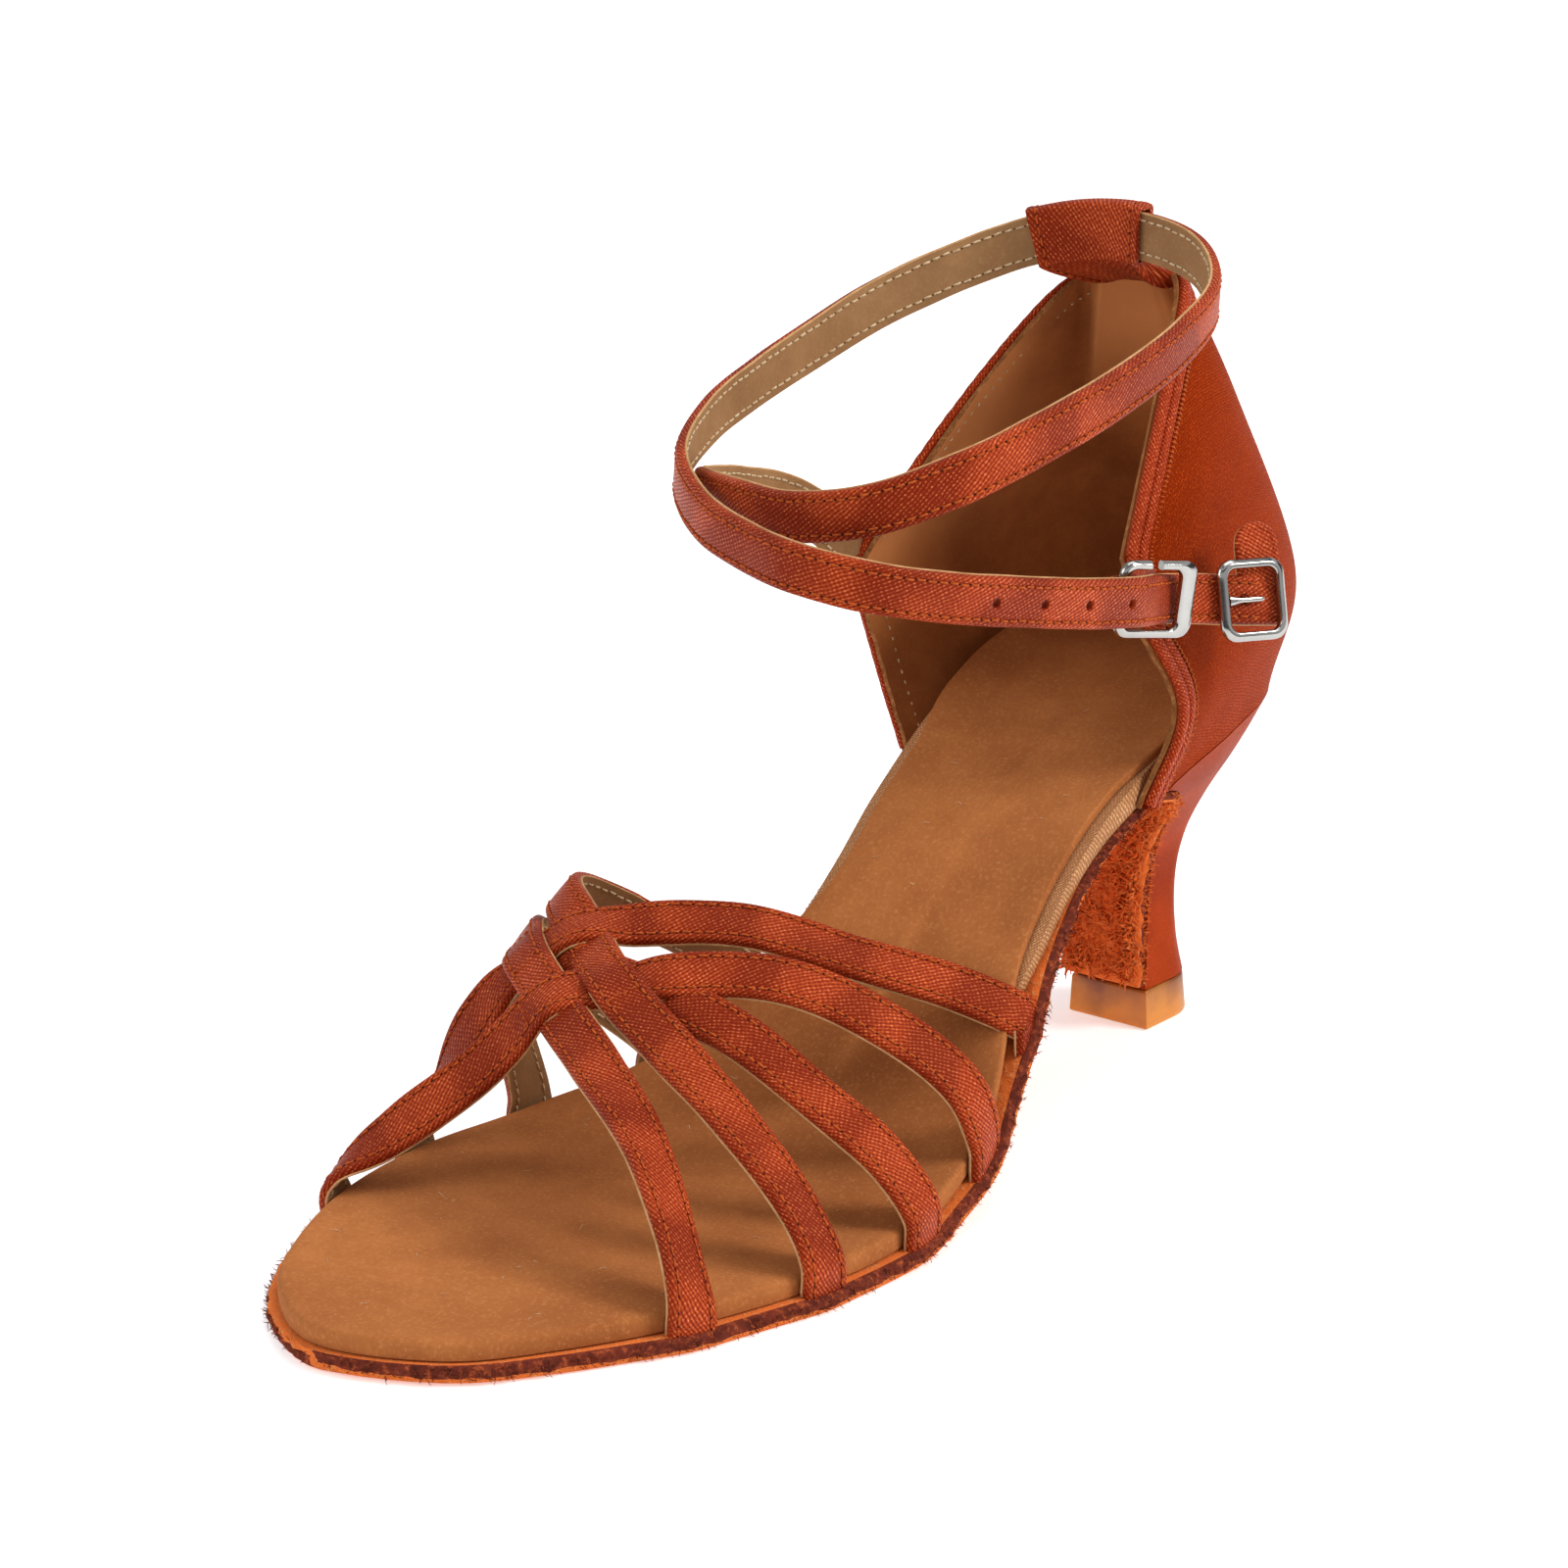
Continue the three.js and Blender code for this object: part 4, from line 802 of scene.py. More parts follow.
# %% Insole board
def board_half(place, side):
    under = rim(place, 1)[:, 2] + GAP * 0.4
    inset = np.clip(column("wrap", place) / WRAP_START, 0, 1) * (SOCK + GAP)
    top = insole_top(place) - SOCK - 0.05
    dip = column("cup", place) * SEAT_CUP
    ring = [across(place, side, 0.45, -inset, under), across(place, side, 0.9, -inset, under)]
    for share in np.linspace(0, 1, 7):
        bulge = 0.3 * math.sin(math.pi * share)
        ring.append(across(place, side, 1, bulge - inset, under + (top - under) * share))
    for share, depth in ((0.72, 0.75), (0.3, 1.0)):
        ring.append(across(place, side, share, -inset, top - dip * depth))
    return np.stack(ring, 1)


board = skin("insole_board", paired(board_half, stations(0.16, LAST_ROW - 0.12)),
             [tan_twill], sharp=50)
dress(board, "tan_satin", "insole_board")

# %% [markdown]
# The heel is a block whose outline turns slowly from the seat's shape at the top to a small D
# at the tip. A table says how far each level has got on that way, once for the width and once
# each for the front and the back. Splitting it so lets the back curve in under the seat while
# the front stays nearly straight.

# %% Heel
HEEL_COLUMNS = ("up", "width", "front", "back")
HEEL_ROWS = [
    (0.00, 0.00, 0.00, 0.00), (0.13, 0.01, 0.00, -0.11), (0.29, 0.03, 0.01, -0.16),
    (0.44, 0.08, 0.03, -0.14), (0.58, 0.21, 0.08, -0.03), (0.73, 0.47, 0.19, 0.23),
    (0.84, 0.72, 0.38, 0.50), (0.92, 0.87, 0.64, 0.71), (0.97, 0.96, 0.86, 0.88),
    (1.00, 1.00, 1.00, 1.00),
]
HEEL = {title: np.array(values) for title, values in zip(HEEL_COLUMNS, zip(*HEEL_ROWS))}
SEAT_OFFSET = GAP + COUNTER_WALL
TIP_FRONT = TIP_CENTRE[1] - TIP_SIZE / 2
TIP_BACK = TIP_CENTRE[1] + TIP_SIZE / 2
SEAT_BACK = FOOT_LENGTH + SEAT_OFFSET
HEEL_SHARES = np.concatenate([np.linspace(0, 0.6, 13), 1 - 0.4 * np.cos(
    np.linspace(0, math.pi / 2, 16)[1:]) ** 1.6])
HEEL_SHARES[-1] = 0.9995


def seat_edge(along, side):
    place = np.array([place_at(a, side, SEAT_OFFSET) for a in np.atleast_1d(along)])
    return rim(place, side, SEAT_OFFSET)


def underside(along):
    fine = np.linspace(0, LAST_ROW, 2001)
    edge = rim(fine, 1)
    return np.interp(along, np.maximum.accumulate(edge[:, 1]), edge[:, 2])


def tip_half_width(share):
    turn = np.clip((np.asarray(share) - 0.5) / 0.5, 0, 1)
    return TIP_SIZE / 2 * np.sqrt(1 - turn**2)


def heel_level(up):
    return {title: np.interp(up, HEEL["up"], HEEL[title]) for title in HEEL_COLUMNS}


SEAT_EDGES = {side: seat_edge(SEAT_FRONT + (SEAT_BACK - SEAT_FRONT) * HEEL_SHARES, side)
              for side in (1, -1)}


def heel_points(up, side, shares=HEEL_SHARES, seats=None):
    """One side of the heel at a height, from the breast to the back."""
    row = heel_level(up)
    seats = SEAT_EDGES[side] if seats is None else seats
    front = TIP_FRONT + (SEAT_FRONT - TIP_FRONT) * row["front"]
    back = TIP_BACK + (SEAT_BACK - TIP_BACK) * row["back"]
    along = front + (back - front) * shares
    tip = TIP_CENTRE[0] + side * tip_half_width(shares)
    wide = tip + (seats[:, 0] - tip) * row["width"]
    top = underside(np.minimum(along, FOOT_LENGTH))
    return np.stack([wide, along, TIP_HEIGHT + (top - TIP_HEIGHT) * up], 1)


def soften(values, passes):
    """Evens out the corners that a table's straight stretches leave."""
    for _ in range(passes):
        values[1:-1] = (values[:-2] + 2 * values[1:-1] + values[2:]) / 4
    return values


heel_rings = soften(np.stack([
    np.concatenate([heel_points(up, 1), heel_points(up, -1)[::-1]])
    for up in np.linspace(0, 1, 70)]), 24)
heel = skin("heel", heel_rings, [heel_satin], sharp=50)
dress(heel, "heel_satin", "heel")

# %% [markdown]
# The heel tip is a block of cloudy amber plastic, D-shaped from below, a touch wider where it
# meets the floor. Its edges are rounded a little, because a worn tip has no sharp corners.

# %% Heel tip
def tip_ring(height, grow):
    half = []
    for side in (1, -1):
        along = (TIP_FRONT + (TIP_BACK - TIP_FRONT) * HEEL_SHARES - TIP_CENTRE[1])
        points = np.stack([TIP_CENTRE[0] + side * (tip_half_width(HEEL_SHARES) + grow),
                           TIP_CENTRE[1] + along * (1 + 2 * grow / TIP_SIZE),
                           np.full(len(along), height)], 1)
        half.append(points if side > 0 else points[::-1])
    return np.concatenate(half)


TIP_EDGE = 0.35
tip_levels = [(0.0, TIP_FLARE - TIP_EDGE), (0.1, TIP_FLARE - 0.1), (TIP_EDGE, TIP_FLARE)]
tip_levels += [(h, TIP_FLARE * (1 - h / TIP_HEIGHT)) for h in np.linspace(1, 6.4, 6)]
tip_levels += [(TIP_HEIGHT - GAP - 0.1, -0.1), (TIP_HEIGHT - GAP, -TIP_EDGE)]
heel_tip = skin("heel_tip", [tip_ring(h, g) for h, g in tip_levels], [amber_tip], sharp=60)
dress(heel_tip, "amber_tip", "heel_tip")

# %% [markdown]
# The outsole is one piece of coarse suede. It runs under the foot, bends down over the front of
# the heel and ends at the tip. Its edge stands out a little where each strap is pulled in under
# the insole, and a knife has left it rough, so fine noise moves the edge in and out.

# %% Strap ends
STRAP_ENDS = {
    "first": (0.174, 0.474), "second": (0.278, 0.534), "third": (0.381, 0.380),
    "fourth": (0.473, 0.182), "fifth": (0.559, 0.277),
}


def bulge(place, side):
    """How far the sole's edge stands out where straps go in."""
    edge = rim(place, side)[:, 1]
    column_index = 0 if side > 0 else 1
    ends = [pair[column_index] * FOOT_LENGTH for pair in STRAP_ENDS.values()]
    return sum(0.7 * np.exp(-(((edge - end) / 5.5) ** 2)) for end in ends)


def rough(points, size, scale, seed=0.0):
    """Small steady noise for each point, the same on every run."""
    offset = Vector((seed, seed * 0.7, seed * 1.3))
    return np.array([[noise.noise(Vector(p) * scale + offset + Vector((k * 31.7, 0, 0))) * size
                      for k in range(3)] for p in points])


# %% Outsole
BREAST_STATIONS = 46


def breast_stations():
    seats = {side: seat_edge(SEAT_FRONT, side) for side in (1, -1)}
    for up in np.linspace(0.965, 0.02, BREAST_STATIONS):
        yield [heel_points(up, side, np.zeros(1), seats[side])[0] for side in (1, -1)]


def outsole_ring(outer, inner, middle, down, lower, thick, seed):
    """The section of the sole: flat top, rough round edges, flat underside."""
    ring = []
    for edge in (outer, inner):
        inward = unit(middle - edge)
        half = []
        for share in (0.55, 0.25):
            half.append(edge + (middle - edge) * share + down * lower)
        half.append(edge + inward * 1.2 + down * lower)
        for turn in np.linspace(0, 1, 7):
            swell = math.sin(math.pi * turn) * 0.35
            inset = 0.3 - swell
            half.append(edge + inward * inset + down * (lower + thick * (0.06 + 0.88 * turn)))
        half.append(edge + inward * 1.2 + down * (lower + thick))
        for share in (0.25, 0.55):
            half.append(edge + (middle - edge) * share + down * (lower + thick))
        ring.append(half)
    return np.array(ring[0] + ring[1][::-1])


def outsole_rings():
    places = stations(0.035, place_at(SEAT_FRONT - 1.5, 1), 0.8)
    outer = rim(places, 1, column("welt", places) * STRAP_THICKNESS + bulge(places, 1))
    inner = rim(places, -1, column("welt", places) * STRAP_THICKNESS + bulge(places, -1))
    ends = [(o, i, 0.0) for o, i in zip(outer, inner)]
    ends += [(o, i, GAP + 0.05) for o, i in breast_stations()]
    middles = np.array([(o + i) / 2 for o, i, _ in ends])
    ahead = np.vstack([middles[1:], middles[-1:]]) - np.vstack([middles[:1], middles[:-1]])
    down = unit(np.stack([np.zeros(len(ends)), ahead[:, 2], -ahead[:, 1]], 1))
    down = unit(soften(down, 3))
    waist = smoothstep(middles[:, 2], OUTSOLE, SEAT_HEIGHT * 0.7)
    rings = []
    for k, (o, i, lower) in enumerate(ends):
        thick = BREAST if lower else OUTSOLE + (BREAST - OUTSOLE) * waist[k]
        rings.append(outsole_ring(o, i, middles[k], down[k], lower, thick, k))
    return np.array(rings)


sole_rings = outsole_rings()
around = sole_rings.shape[1]
half_ring = around // 2
flat_shape = sole_rings.reshape(-1, 3)
wander = rough(flat_shape, 0.6, 0.45, 3.0) + rough(flat_shape, 0.3, 1.6, 9.0)
wander[:, 2] *= 0.35
on_edge = np.tile([3 <= j % half_ring <= 8 for j in range(around)], len(sole_rings))
flat_shape[on_edge] += wander[on_edge]
flat_shape[:, 2] = np.maximum(flat_shape[:, 2], 0.02)
sole_rings = flat_shape.reshape(sole_rings.shape)
strip_finish = [1 if 2 <= j % half_ring <= 6 else 0 for j in range(around)]
outsole = skin("outsole", sole_rings, [sole_suede, sole_edge], strip_finish, sharp=70)
dress(outsole, "sole_suede", "outsole")

# %% [markdown]
# The counter is the closed back of the shoe. Its table gives ribs from the back seam round to
# the front edge, and each rib rises through three points above its foot. The satin outside is
# stretched smooth, the suede inside is a skin of its own, and the two meet in a raw edge.

# %% Counter's shape
COUNTER_COLUMNS = ("foot", "w1", "a1", "h1", "w2", "a2", "h2", "w3", "a3", "h3",
                   "sweep", "spread")
COUNTER_ROWS = [
    (1.000, 0.00, 1.015, 0.26, 0.00, 0.966, 0.72, 0.00, 0.925, 1.00, 0.0, 0.0),
    (0.985, 0.355, 0.9965, 0.26, 0.26, 0.948, 0.71, 0.16, 0.915, 0.995, 0.0, 0.0),
    (0.940, 0.6025, 0.949, 0.26, 0.45, 0.917, 0.67, 0.29, 0.888, 0.955, 0.0, 0.0),
    (0.875, 0.725, 0.8765, 0.26, 0.58, 0.862, 0.60, 0.385, 0.847, 0.850, 0.0, 0.0),
    (0.802, 0.7525, 0.800, 0.18, 0.69, 0.796, 0.48, 0.50, 0.790, 0.670, 0.01, 0.03),
    (0.730, 0.6925, 0.735, 0.09, 0.74, 0.725, 0.31, 0.61, 0.733, 0.465, 0.022, 0.09),
]
COUNTER = {title: np.array(values) for title, values in zip(COUNTER_COLUMNS,
                                                            zip(*COUNTER_ROWS))}
COUNTER_SHIFT = -0.02
COUNTER_MIDDLE = 0.8
BINDING_WIDTH = 3.5


def mirrored(values):
    return np.concatenate([values[:0:-1], values])


def counter_level(half, along, high):
    both = []
    for side in (-1, 1):
        uneven = 1.0 if half == "w1" and side > 0 else 0.0
        both.append(np.stack([
            (side * (COUNTER[half] + uneven * COUNTER["spread"]) + COUNTER_SHIFT) * HALF_BALL,
            (COUNTER[along] + uneven * COUNTER["sweep"]) * FOOT_LENGTH,
            SEAT_HEIGHT + COUNTER[high] * (COLLAR_HEIGHT - SEAT_HEIGHT)], 1))
    return Smooth(np.vstack([both[0][:0:-1], both[1]]))


FEET = mirrored(np.array([LAST_ROW if row[0] >= 1 else place_at(row[0] * FOOT_LENGTH, 1)
                          for row in COUNTER_ROWS]))
COUNTER_FEET = Smooth(np.stack([FEET] * 3, 1))
COUNTER_LEVELS = [counter_level(*names) for names in
                  (("w1", "a1", "h1"), ("w2", "a2", "h2"), ("w3", "a3", "h3"))]


def counter_foot(turn, offset):
    place = min(float(COUNTER_FEET.at((turn + 1) / 2)[0, 0]), LAST_ROW)
    foot = rim(place, -1 if turn < 0 else 1, offset)[0]
    foot[2] += GAP
    return foot


def counter_grid(turns, rises):
    """Points of the outer face, shape (turns, rises, 3)."""
    grid = []
    for turn in turns:
        ribs = [counter_foot(turn, SEAT_OFFSET)]
        ribs += [level.at((turn + 1) / 2)[0] for level in COUNTER_LEVELS]
        grid.append(Smooth(ribs).at(rises))
    return np.array(grid)


def grid_normals(grid):
    """Outward directions of a grid that wraps round the heel."""
    around_way = np.gradient(grid, axis=0)
    rising = np.gradient(grid, axis=1)
    normal = unit(np.cross(around_way, rising))
    middle = np.array([0, FOOT_LENGTH * COUNTER_MIDDLE, 0])
    outward = (grid - middle) * np.array([1, 1, 0])
    flip = np.sign((normal * outward).sum(axis=2, keepdims=True))
    return normal * flip


TURNS = np.linspace(-1, 1, 161)
RISES = np.linspace(0, 1, 61)
COUNTER_FACE = counter_grid(TURNS, RISES)
COUNTER_NORMAL = grid_normals(COUNTER_FACE)
print("counter", np.round(COUNTER_FACE.reshape(-1, 3).min(0)), "to",
      np.round(COUNTER_FACE.reshape(-1, 3).max(0)))

# %% [markdown]
# Real cloth never lies quite true. Near its front edges the satin is drawn to the seam in small
# folds, and the suede lining buckles softly near the top of the back, where it had to be eased
# round the tightest curve. Both are added here, in millimetres along the normals.

# %% Counter
def face_offset(turn, rise):
    """Relief of the satin face: a seam line behind the binding and faint pull lines."""
    run = (1 - abs(turn)) * 78
    seam = -0.25 * math.exp(-(((run - BINDING_WIDTH - 0.4) / 0.45) ** 2))
    pull = 0.05 * math.sin(rise * 55 + 4 * turn) * math.exp(-run / 9)
    return seam + pull


PLEAT = -0.32


def lining_offset(turn, rise):
    """Relief of the lining: a pleat beside the back, eased out below and towards the seam."""
    step = float(smoothstep(turn, PLEAT - 0.008, PLEAT + 0.012))
    pleat = -2.3 * step * max(0.0, 1 - (turn - PLEAT) / 0.34) * float(
        smoothstep(rise, 0.38, 0.9))
    valley = 0.5 * math.exp(-(((turn - PLEAT + 0.03) / 0.03) ** 2)) * float(
        smoothstep(rise, 0.5, 0.95))
    buckle = 0.3 * math.sin(turn * 17 + 1.0) * float(smoothstep(rise, 0.7, 1.0))
    seam = 0.3 * math.exp(-((turn / 0.012) ** 2))
    return pleat + valley + buckle * 0.6 + seam


def lining_reach(turn, rise):
    """How far the raw edge of the lining stands beyond the satin's folded edge."""
    wave = 0.5 + 0.5 * math.sin((turn - PLEAT) * 24.0)
    return 0.55 + 1.3 * wave * math.exp(-((turn + 0.08) / 0.26) ** 2) * rise**4


def lining_painted_light(turn, rise):
    """Painted light on the lining: lighter past the pleat, and towards the front edge."""
    past = float(smoothstep(turn, PLEAT - 0.01, PLEAT + 0.03)) * float(
        smoothstep(rise, 0.5, 0.85)) * (1 - float(smoothstep(turn, -0.05, 0.1)))
    front = float(smoothstep(-turn, 0.36, 0.7)) * float(smoothstep(rise, 0.3, 0.7))
    return 0.75 * past + 0.5 * front


def counter_piece(name, depth_out, depth_in, relief_out, relief_in, materials, reach=None):
    """A shell between two depths under the counter's outer face."""
    count = len(RISES)
    outer = np.empty((len(TURNS), count, 3))
    inner = np.empty_like(outer)
    for i, turn in enumerate(TURNS):
        for j in range(count):
            out = depth_out + relief_out(turn, RISES[j])
            inn = depth_in + relief_in(turn, RISES[j])
            outer[i, j] = COUNTER_FACE[i, j] + COUNTER_NORMAL[i, j] * out
            inner[i, j] = COUNTER_FACE[i, j] + COUNTER_NORMAL[i, j] * inn
    if reach:
        for grid in (outer, inner):
            for end, before in ((0, 1), (-1, -2)):
                ways = unit(grid[end] - grid[before])
                far = [reach(TURNS[end], rise) + 0.12 * math.sin(rise * 60) for rise in RISES]
                grid[end] += ways * np.reshape(far, (-1, 1))
            ways = unit(grid[:, -1] - grid[:, -2])
            far = [reach(turn, 1.0) for turn in TURNS]
            grid[:, -1] += ways * np.reshape(far, (-1, 1))
    rings = np.concatenate([outer, inner[:, ::-1]], axis=1)
    edge = 1 if len(materials) > 1 else 0
    strips = [0] * (count - 1) + [edge] + [0] * (count - 1) + [edge]
    return skin(name, rings, materials, strips, sharp=60, cap=edge)


def none(turn, rise):
    return 0.0


LINING_DEPTH = -1.15
satin_shell = counter_piece("counter_satin", 0.0, LINING_DEPTH + 0.05, face_offset, none,
                            [counter_satin])
dress(satin_shell, "satin", "heel_counter")
lining_shell = counter_piece("counter_lining", LINING_DEPTH, -COUNTER_WALL, none, lining_offset,
                             [lining_suede, lining_edge], lining_reach)
# The lining's painted light, kept as a mask on its points.
painted_light = lining_shell.data.attributes.new("painted_light", "FLOAT", "POINT")
painted_light.data.foreach_set("value", [lining_painted_light(turn, rise) for turn in TURNS
                                   for rise in np.concatenate([RISES, RISES[::-1]])])
dress(lining_shell, "tan_suede")

# %% [markdown]
# Sewing thread is made as real little threads, because stitches catch the light and throw
# shadows at this scale. All stitches of a seam are one mesh: each is a short tube whose ends
# dive into the cloth, and where wanted a short dark tube at the hole between two stitches is
# painted shade for the hole.

# %% Thread
THREAD_HELPER = np.array([0.31, 0.17, 0.93])


def threads(name, routes, material, radius=0.2, holes=(), dark=None, hole_radius=0.2):
    """Stitches as one mesh. routes are lists of stitches, each a short row of points."""
    points, faces, finish = [], [], []
    sides = 5
    rows = [(stitch, radius, 0) for stitch in routes] + [(hole, hole_radius, 1) for hole in holes]
    for stitch, width, kind in rows:
        stitch = np.asarray(stitch, float)
        ahead = unit(np.gradient(stitch, axis=0))
        across = unit(np.cross(ahead, THREAD_HELPER))
        over = np.cross(ahead, across)
        base, count = len(points), len(stitch)
        for k in range(count):
            thick = width * (0.45 if k in (0, count - 1) else 1.0)
            for t in range(sides):
                turn = 2 * math.pi * t / sides
                points.append(stitch[k] + (across[k] * math.cos(turn)
                                           + over[k] * math.sin(turn)) * thick)
        for k in range(count - 1):
            for t in range(sides):
                n = (t + 1) % sides
                faces.append((base + k * sides + t, base + k * sides + n,
                              base + (k + 1) * sides + n, base + (k + 1) * sides + t))
        faces.append(tuple(base + t for t in range(sides))[::-1])
        faces.append(tuple(base + (count - 1) * sides + t for t in range(sides)))
        finish += [kind] * ((count - 1) * sides + 2)
    return new_piece(name, np.array(points), faces, [material, dark or material], finish)


print("threads ready")

# %% [markdown]
# Raw suede sheds fibres. Short bent ones stand along the cut edge of the sole, and curls cover
# the front of the heel. Each is a very thin bent thread, and a seeded generator places them, so
# they fall the same way on every run.

# %% Fibres
CHANCE = np.random.default_rng(7)


def fibres(name, roots, ways, material, length, radius, curl, spread=0.6):
    """Bent hairs from the roots, leaning along the ways."""
    routes = []
    for root, way in zip(roots, ways):
        lean = unit(way + CHANCE.normal(0, spread, 3))
        side = unit(np.cross(lean, CHANCE.normal(0, 1, 3)))
        reach = CHANCE.uniform(*length)
        bend = CHANCE.uniform(0.3, 1.0) * curl * reach
        steps = np.linspace(0, 1, 4)[:, None]
        routes.append(root + lean * steps * reach + side * (steps**2) * bend)
    return threads(name, routes, material, radius)


def edge_roots(count, first, last, strips):
    """Random points on the sole's rough edge, with the way outwards at each."""
    at = CHANCE.integers(first, last, count)
    j = CHANCE.choice(strips, count)
    blend = CHANCE.uniform(0, 1, (count, 1))
    roots = sole_rings[at, j] * blend + sole_rings[at, j + 1] * (1 - blend)
    return roots, unit(roots - sole_rings[at].mean(axis=1))


sole_stations = len(sole_rings)
breast_first = sole_stations - BREAST_STATIONS
edge_columns = [j for j in range(around - 1) if 3 <= j % half_ring <= 7]
roots, ways = edge_roots(2600, 1, breast_first, edge_columns)
dress(fibres("sole_fuzz", roots, ways, sole_edge, (0.35, 1.1), 0.06, 0.8), "sole_suede")
roots, ways = edge_roots(700, breast_first, sole_stations - 1, edge_columns)
dress(fibres("breast_fuzz", roots, ways, sole_suede, (0.4, 1.2), 0.07, 0.9), "sole_suede")
CURLS = 4200
at = CHANCE.integers(breast_first + 1, sole_stations - 2, CURLS)
low_side = [sole_rings[k, half_ring - 3:half_ring + 4] for k in at]
picks = CHANCE.uniform(0, 5.99, CURLS)
roots = np.array([row[int(pick)] * (1 - pick % 1) + row[int(pick) + 1] * (pick % 1)
                  for row, pick in zip(low_side, picks)])
roots += (sole_rings[at + 1].mean(axis=1) - sole_rings[at].mean(axis=1)) * CHANCE.uniform(
    0, 1, (CURLS, 1))
forward = np.tile([0.0, -1.0, -0.1], (CURLS, 1))
dress(fibres("breast_curls", roots, forward, sole_suede, (0.8, 1.8), 0.17, 1.5, 1.1),
      "sole_suede")

# %% [markdown]
# The sock has picked up a little fluff. Each bit lies flat on the suede, so its root is a point
# of the sock's own top face.

# %% Fluff on the sock
def on_sock(place, side, share):
    top = insole_top(place) - column("cup", place) * SEAT_CUP * 0.9 - pressed(place, share)
    return across(place, side, share, -1.0, top + 0.12)


FLUFF = 60
fluff_places = CHANCE.uniform(1.2, 9.5, FLUFF)
fluff_sides = CHANCE.choice([-1, 1], FLUFF)
fluff_shares = CHANCE.uniform(0.05, 0.85, FLUFF)
roots = np.array([on_sock(np.array([place]), side, share)[0]
                  for place, side, share in zip(fluff_places, fluff_sides, fluff_shares)])
ways = np.stack([CHANCE.normal(0, 1, FLUFF), CHANCE.normal(0, 1, FLUFF),
                 np.full(FLUFF, 0.05)], 1)
dress(fibres("sock_fluff", roots, unit(ways), pale_thread, (0.5, 1.8), 0.05, 0.6, 0.02),
      "tan_suede")

# %% [markdown]
# A binding covers the raw edge of the satin: a narrow twill strip folded over it and sewn down
# with an overlock stitch. It runs up the outer front edge, over the top and down the inner one,
# so its path is the border of the counter's face.

# %% Counter's border
BORDER_STEP = 0.7


def counter_border():
    points = np.vstack([COUNTER_FACE[-1, :-1], COUNTER_FACE[::-1, -1], COUNTER_FACE[0, -2::-1]])
    normals = np.vstack([COUNTER_NORMAL[-1, :-1], COUNTER_NORMAL[::-1, -1],
                         COUNTER_NORMAL[0, -2::-1]])
    run = np.concatenate([[0], np.cumsum(np.linalg.norm(np.diff(points, axis=0), axis=1))])
    even = np.arange(0, run[-1], BORDER_STEP)
    points = np.stack([np.interp(even, run, points[:, k]) for k in range(3)], 1)
    normals = np.stack([np.interp(even, run, normals[:, k]) for k in range(3)], 1)
    points, normals = soften(points, 14), unit(soften(normals, 30))
    inward = unit(np.cross(np.gradient(points, axis=0), normals))
    return even, points, normals, unit(soften(inward, 10))


BORDER_RUN, BORDER, BORDER_OUT, BORDER_IN = counter_border()


def on_counter(run, inside, high):
    """Points near the border: a distance along it, a distance inside it and a height."""
    def pick(values):
        return np.stack([np.interp(run, BORDER_RUN, values[:, k]) for k in range(3)], 1)
    inside, high = np.reshape(inside, (-1, 1)), np.reshape(high, (-1, 1))
    return pick(BORDER) + pick(BORDER_IN) * inside + pick(BORDER_OUT) * high


BINDING_SECTION = [
    (1.2, -0.5), (0.3, -1.0), (-0.15, -0.9), (-0.35, -0.4), (-0.3, 0.1), (0.0, 0.42),
    (0.5, 0.56), (1.1, 0.56), (1.5, 0.4), (1.68, 0.12), (1.86, 0.4), (2.3, 0.58), (2.8, 0.58),
    (3.25, 0.4), (3.45, 0.05), (3.4, -0.5),
]
binding_rings = []
for run in BORDER_RUN[1:-1]:
    pucker = 1 + 0.08 * math.sin(run * 2.1) + 0.05 * math.sin(run * 0.7)
    inside = np.array([w for w, _ in BINDING_SECTION])
    high = np.array([h * (pucker if h > 0 else 1) for _, h in BINDING_SECTION])
    binding_rings.append(on_counter(np.full(len(inside), run), inside, high))
binding = skin("counter_binding", binding_rings, [binding_satin], sharp=60)
dress(binding, "satin", "heel_counter")

# %% [markdown]
# Two kinds of stitch hold it. Outside, short cross threads lie over a line of small stitches.
# Inside, only pale dots show on the suede.

# %% Counter's stitches
OVERLOCK_PITCH = 0.95
OVERLOCK_LINE = 4.05
LINING_LINE = 3.6


def counter_seams(start, stop):
    cross, inside = [], []
    for first in np.arange(start, stop, OVERLOCK_PITCH):
        line = first + OVERLOCK_PITCH * np.array([0.05, 0.3, 0.6, 0.95])
        cross.append(on_counter(line, np.full(4, OVERLOCK_LINE), [-0.08, 0.1, 0.1, -0.08]))
        tick = first + np.array([0.0, 0.08, 0.16, 0.24])
        cross.append(on_counter(tick, OVERLOCK_LINE + np.array([-0.7, -0.25, 0.15, 0.55]),
                                [0.12, 0.34, 0.22, -0.06]))
    for first in np.arange(start, stop, 1.9):
        dash = first + np.array([0.0, 0.25, 0.5, 0.75])
        depth = -COUNTER_WALL - np.array([-0.15, 0.05, 0.05, -0.15])
        inside.append(on_counter(dash, np.full(4, LINING_LINE), depth))
    return cross, inside


cross_threads, lining_threads = counter_seams(1.0, BORDER_RUN[-1] - 1.0)
dress(threads("counter_overlock", cross_threads, orange_thread, 0.17), "satin")
dress(threads("counter_lining_stitches", lining_threads, pale_thread, 0.16), "satin")

# %% [markdown]
# A strap of this shoe is satin folded round a ribbon, with a leather lining glued below, whose
# cut edge shows as a pale line. All straps share one section: a crowned satin top with two
# stitch troughs, then the raw edge, then the lining. The section is swept along each strap's
# curve, and the stitches follow as small threads of their own.

# %% Sweeping a band
SATIN_STRIP, EDGE_STRIP, LINING_STRIP = 0, 1, 2
STITCH_INSET = 1.25


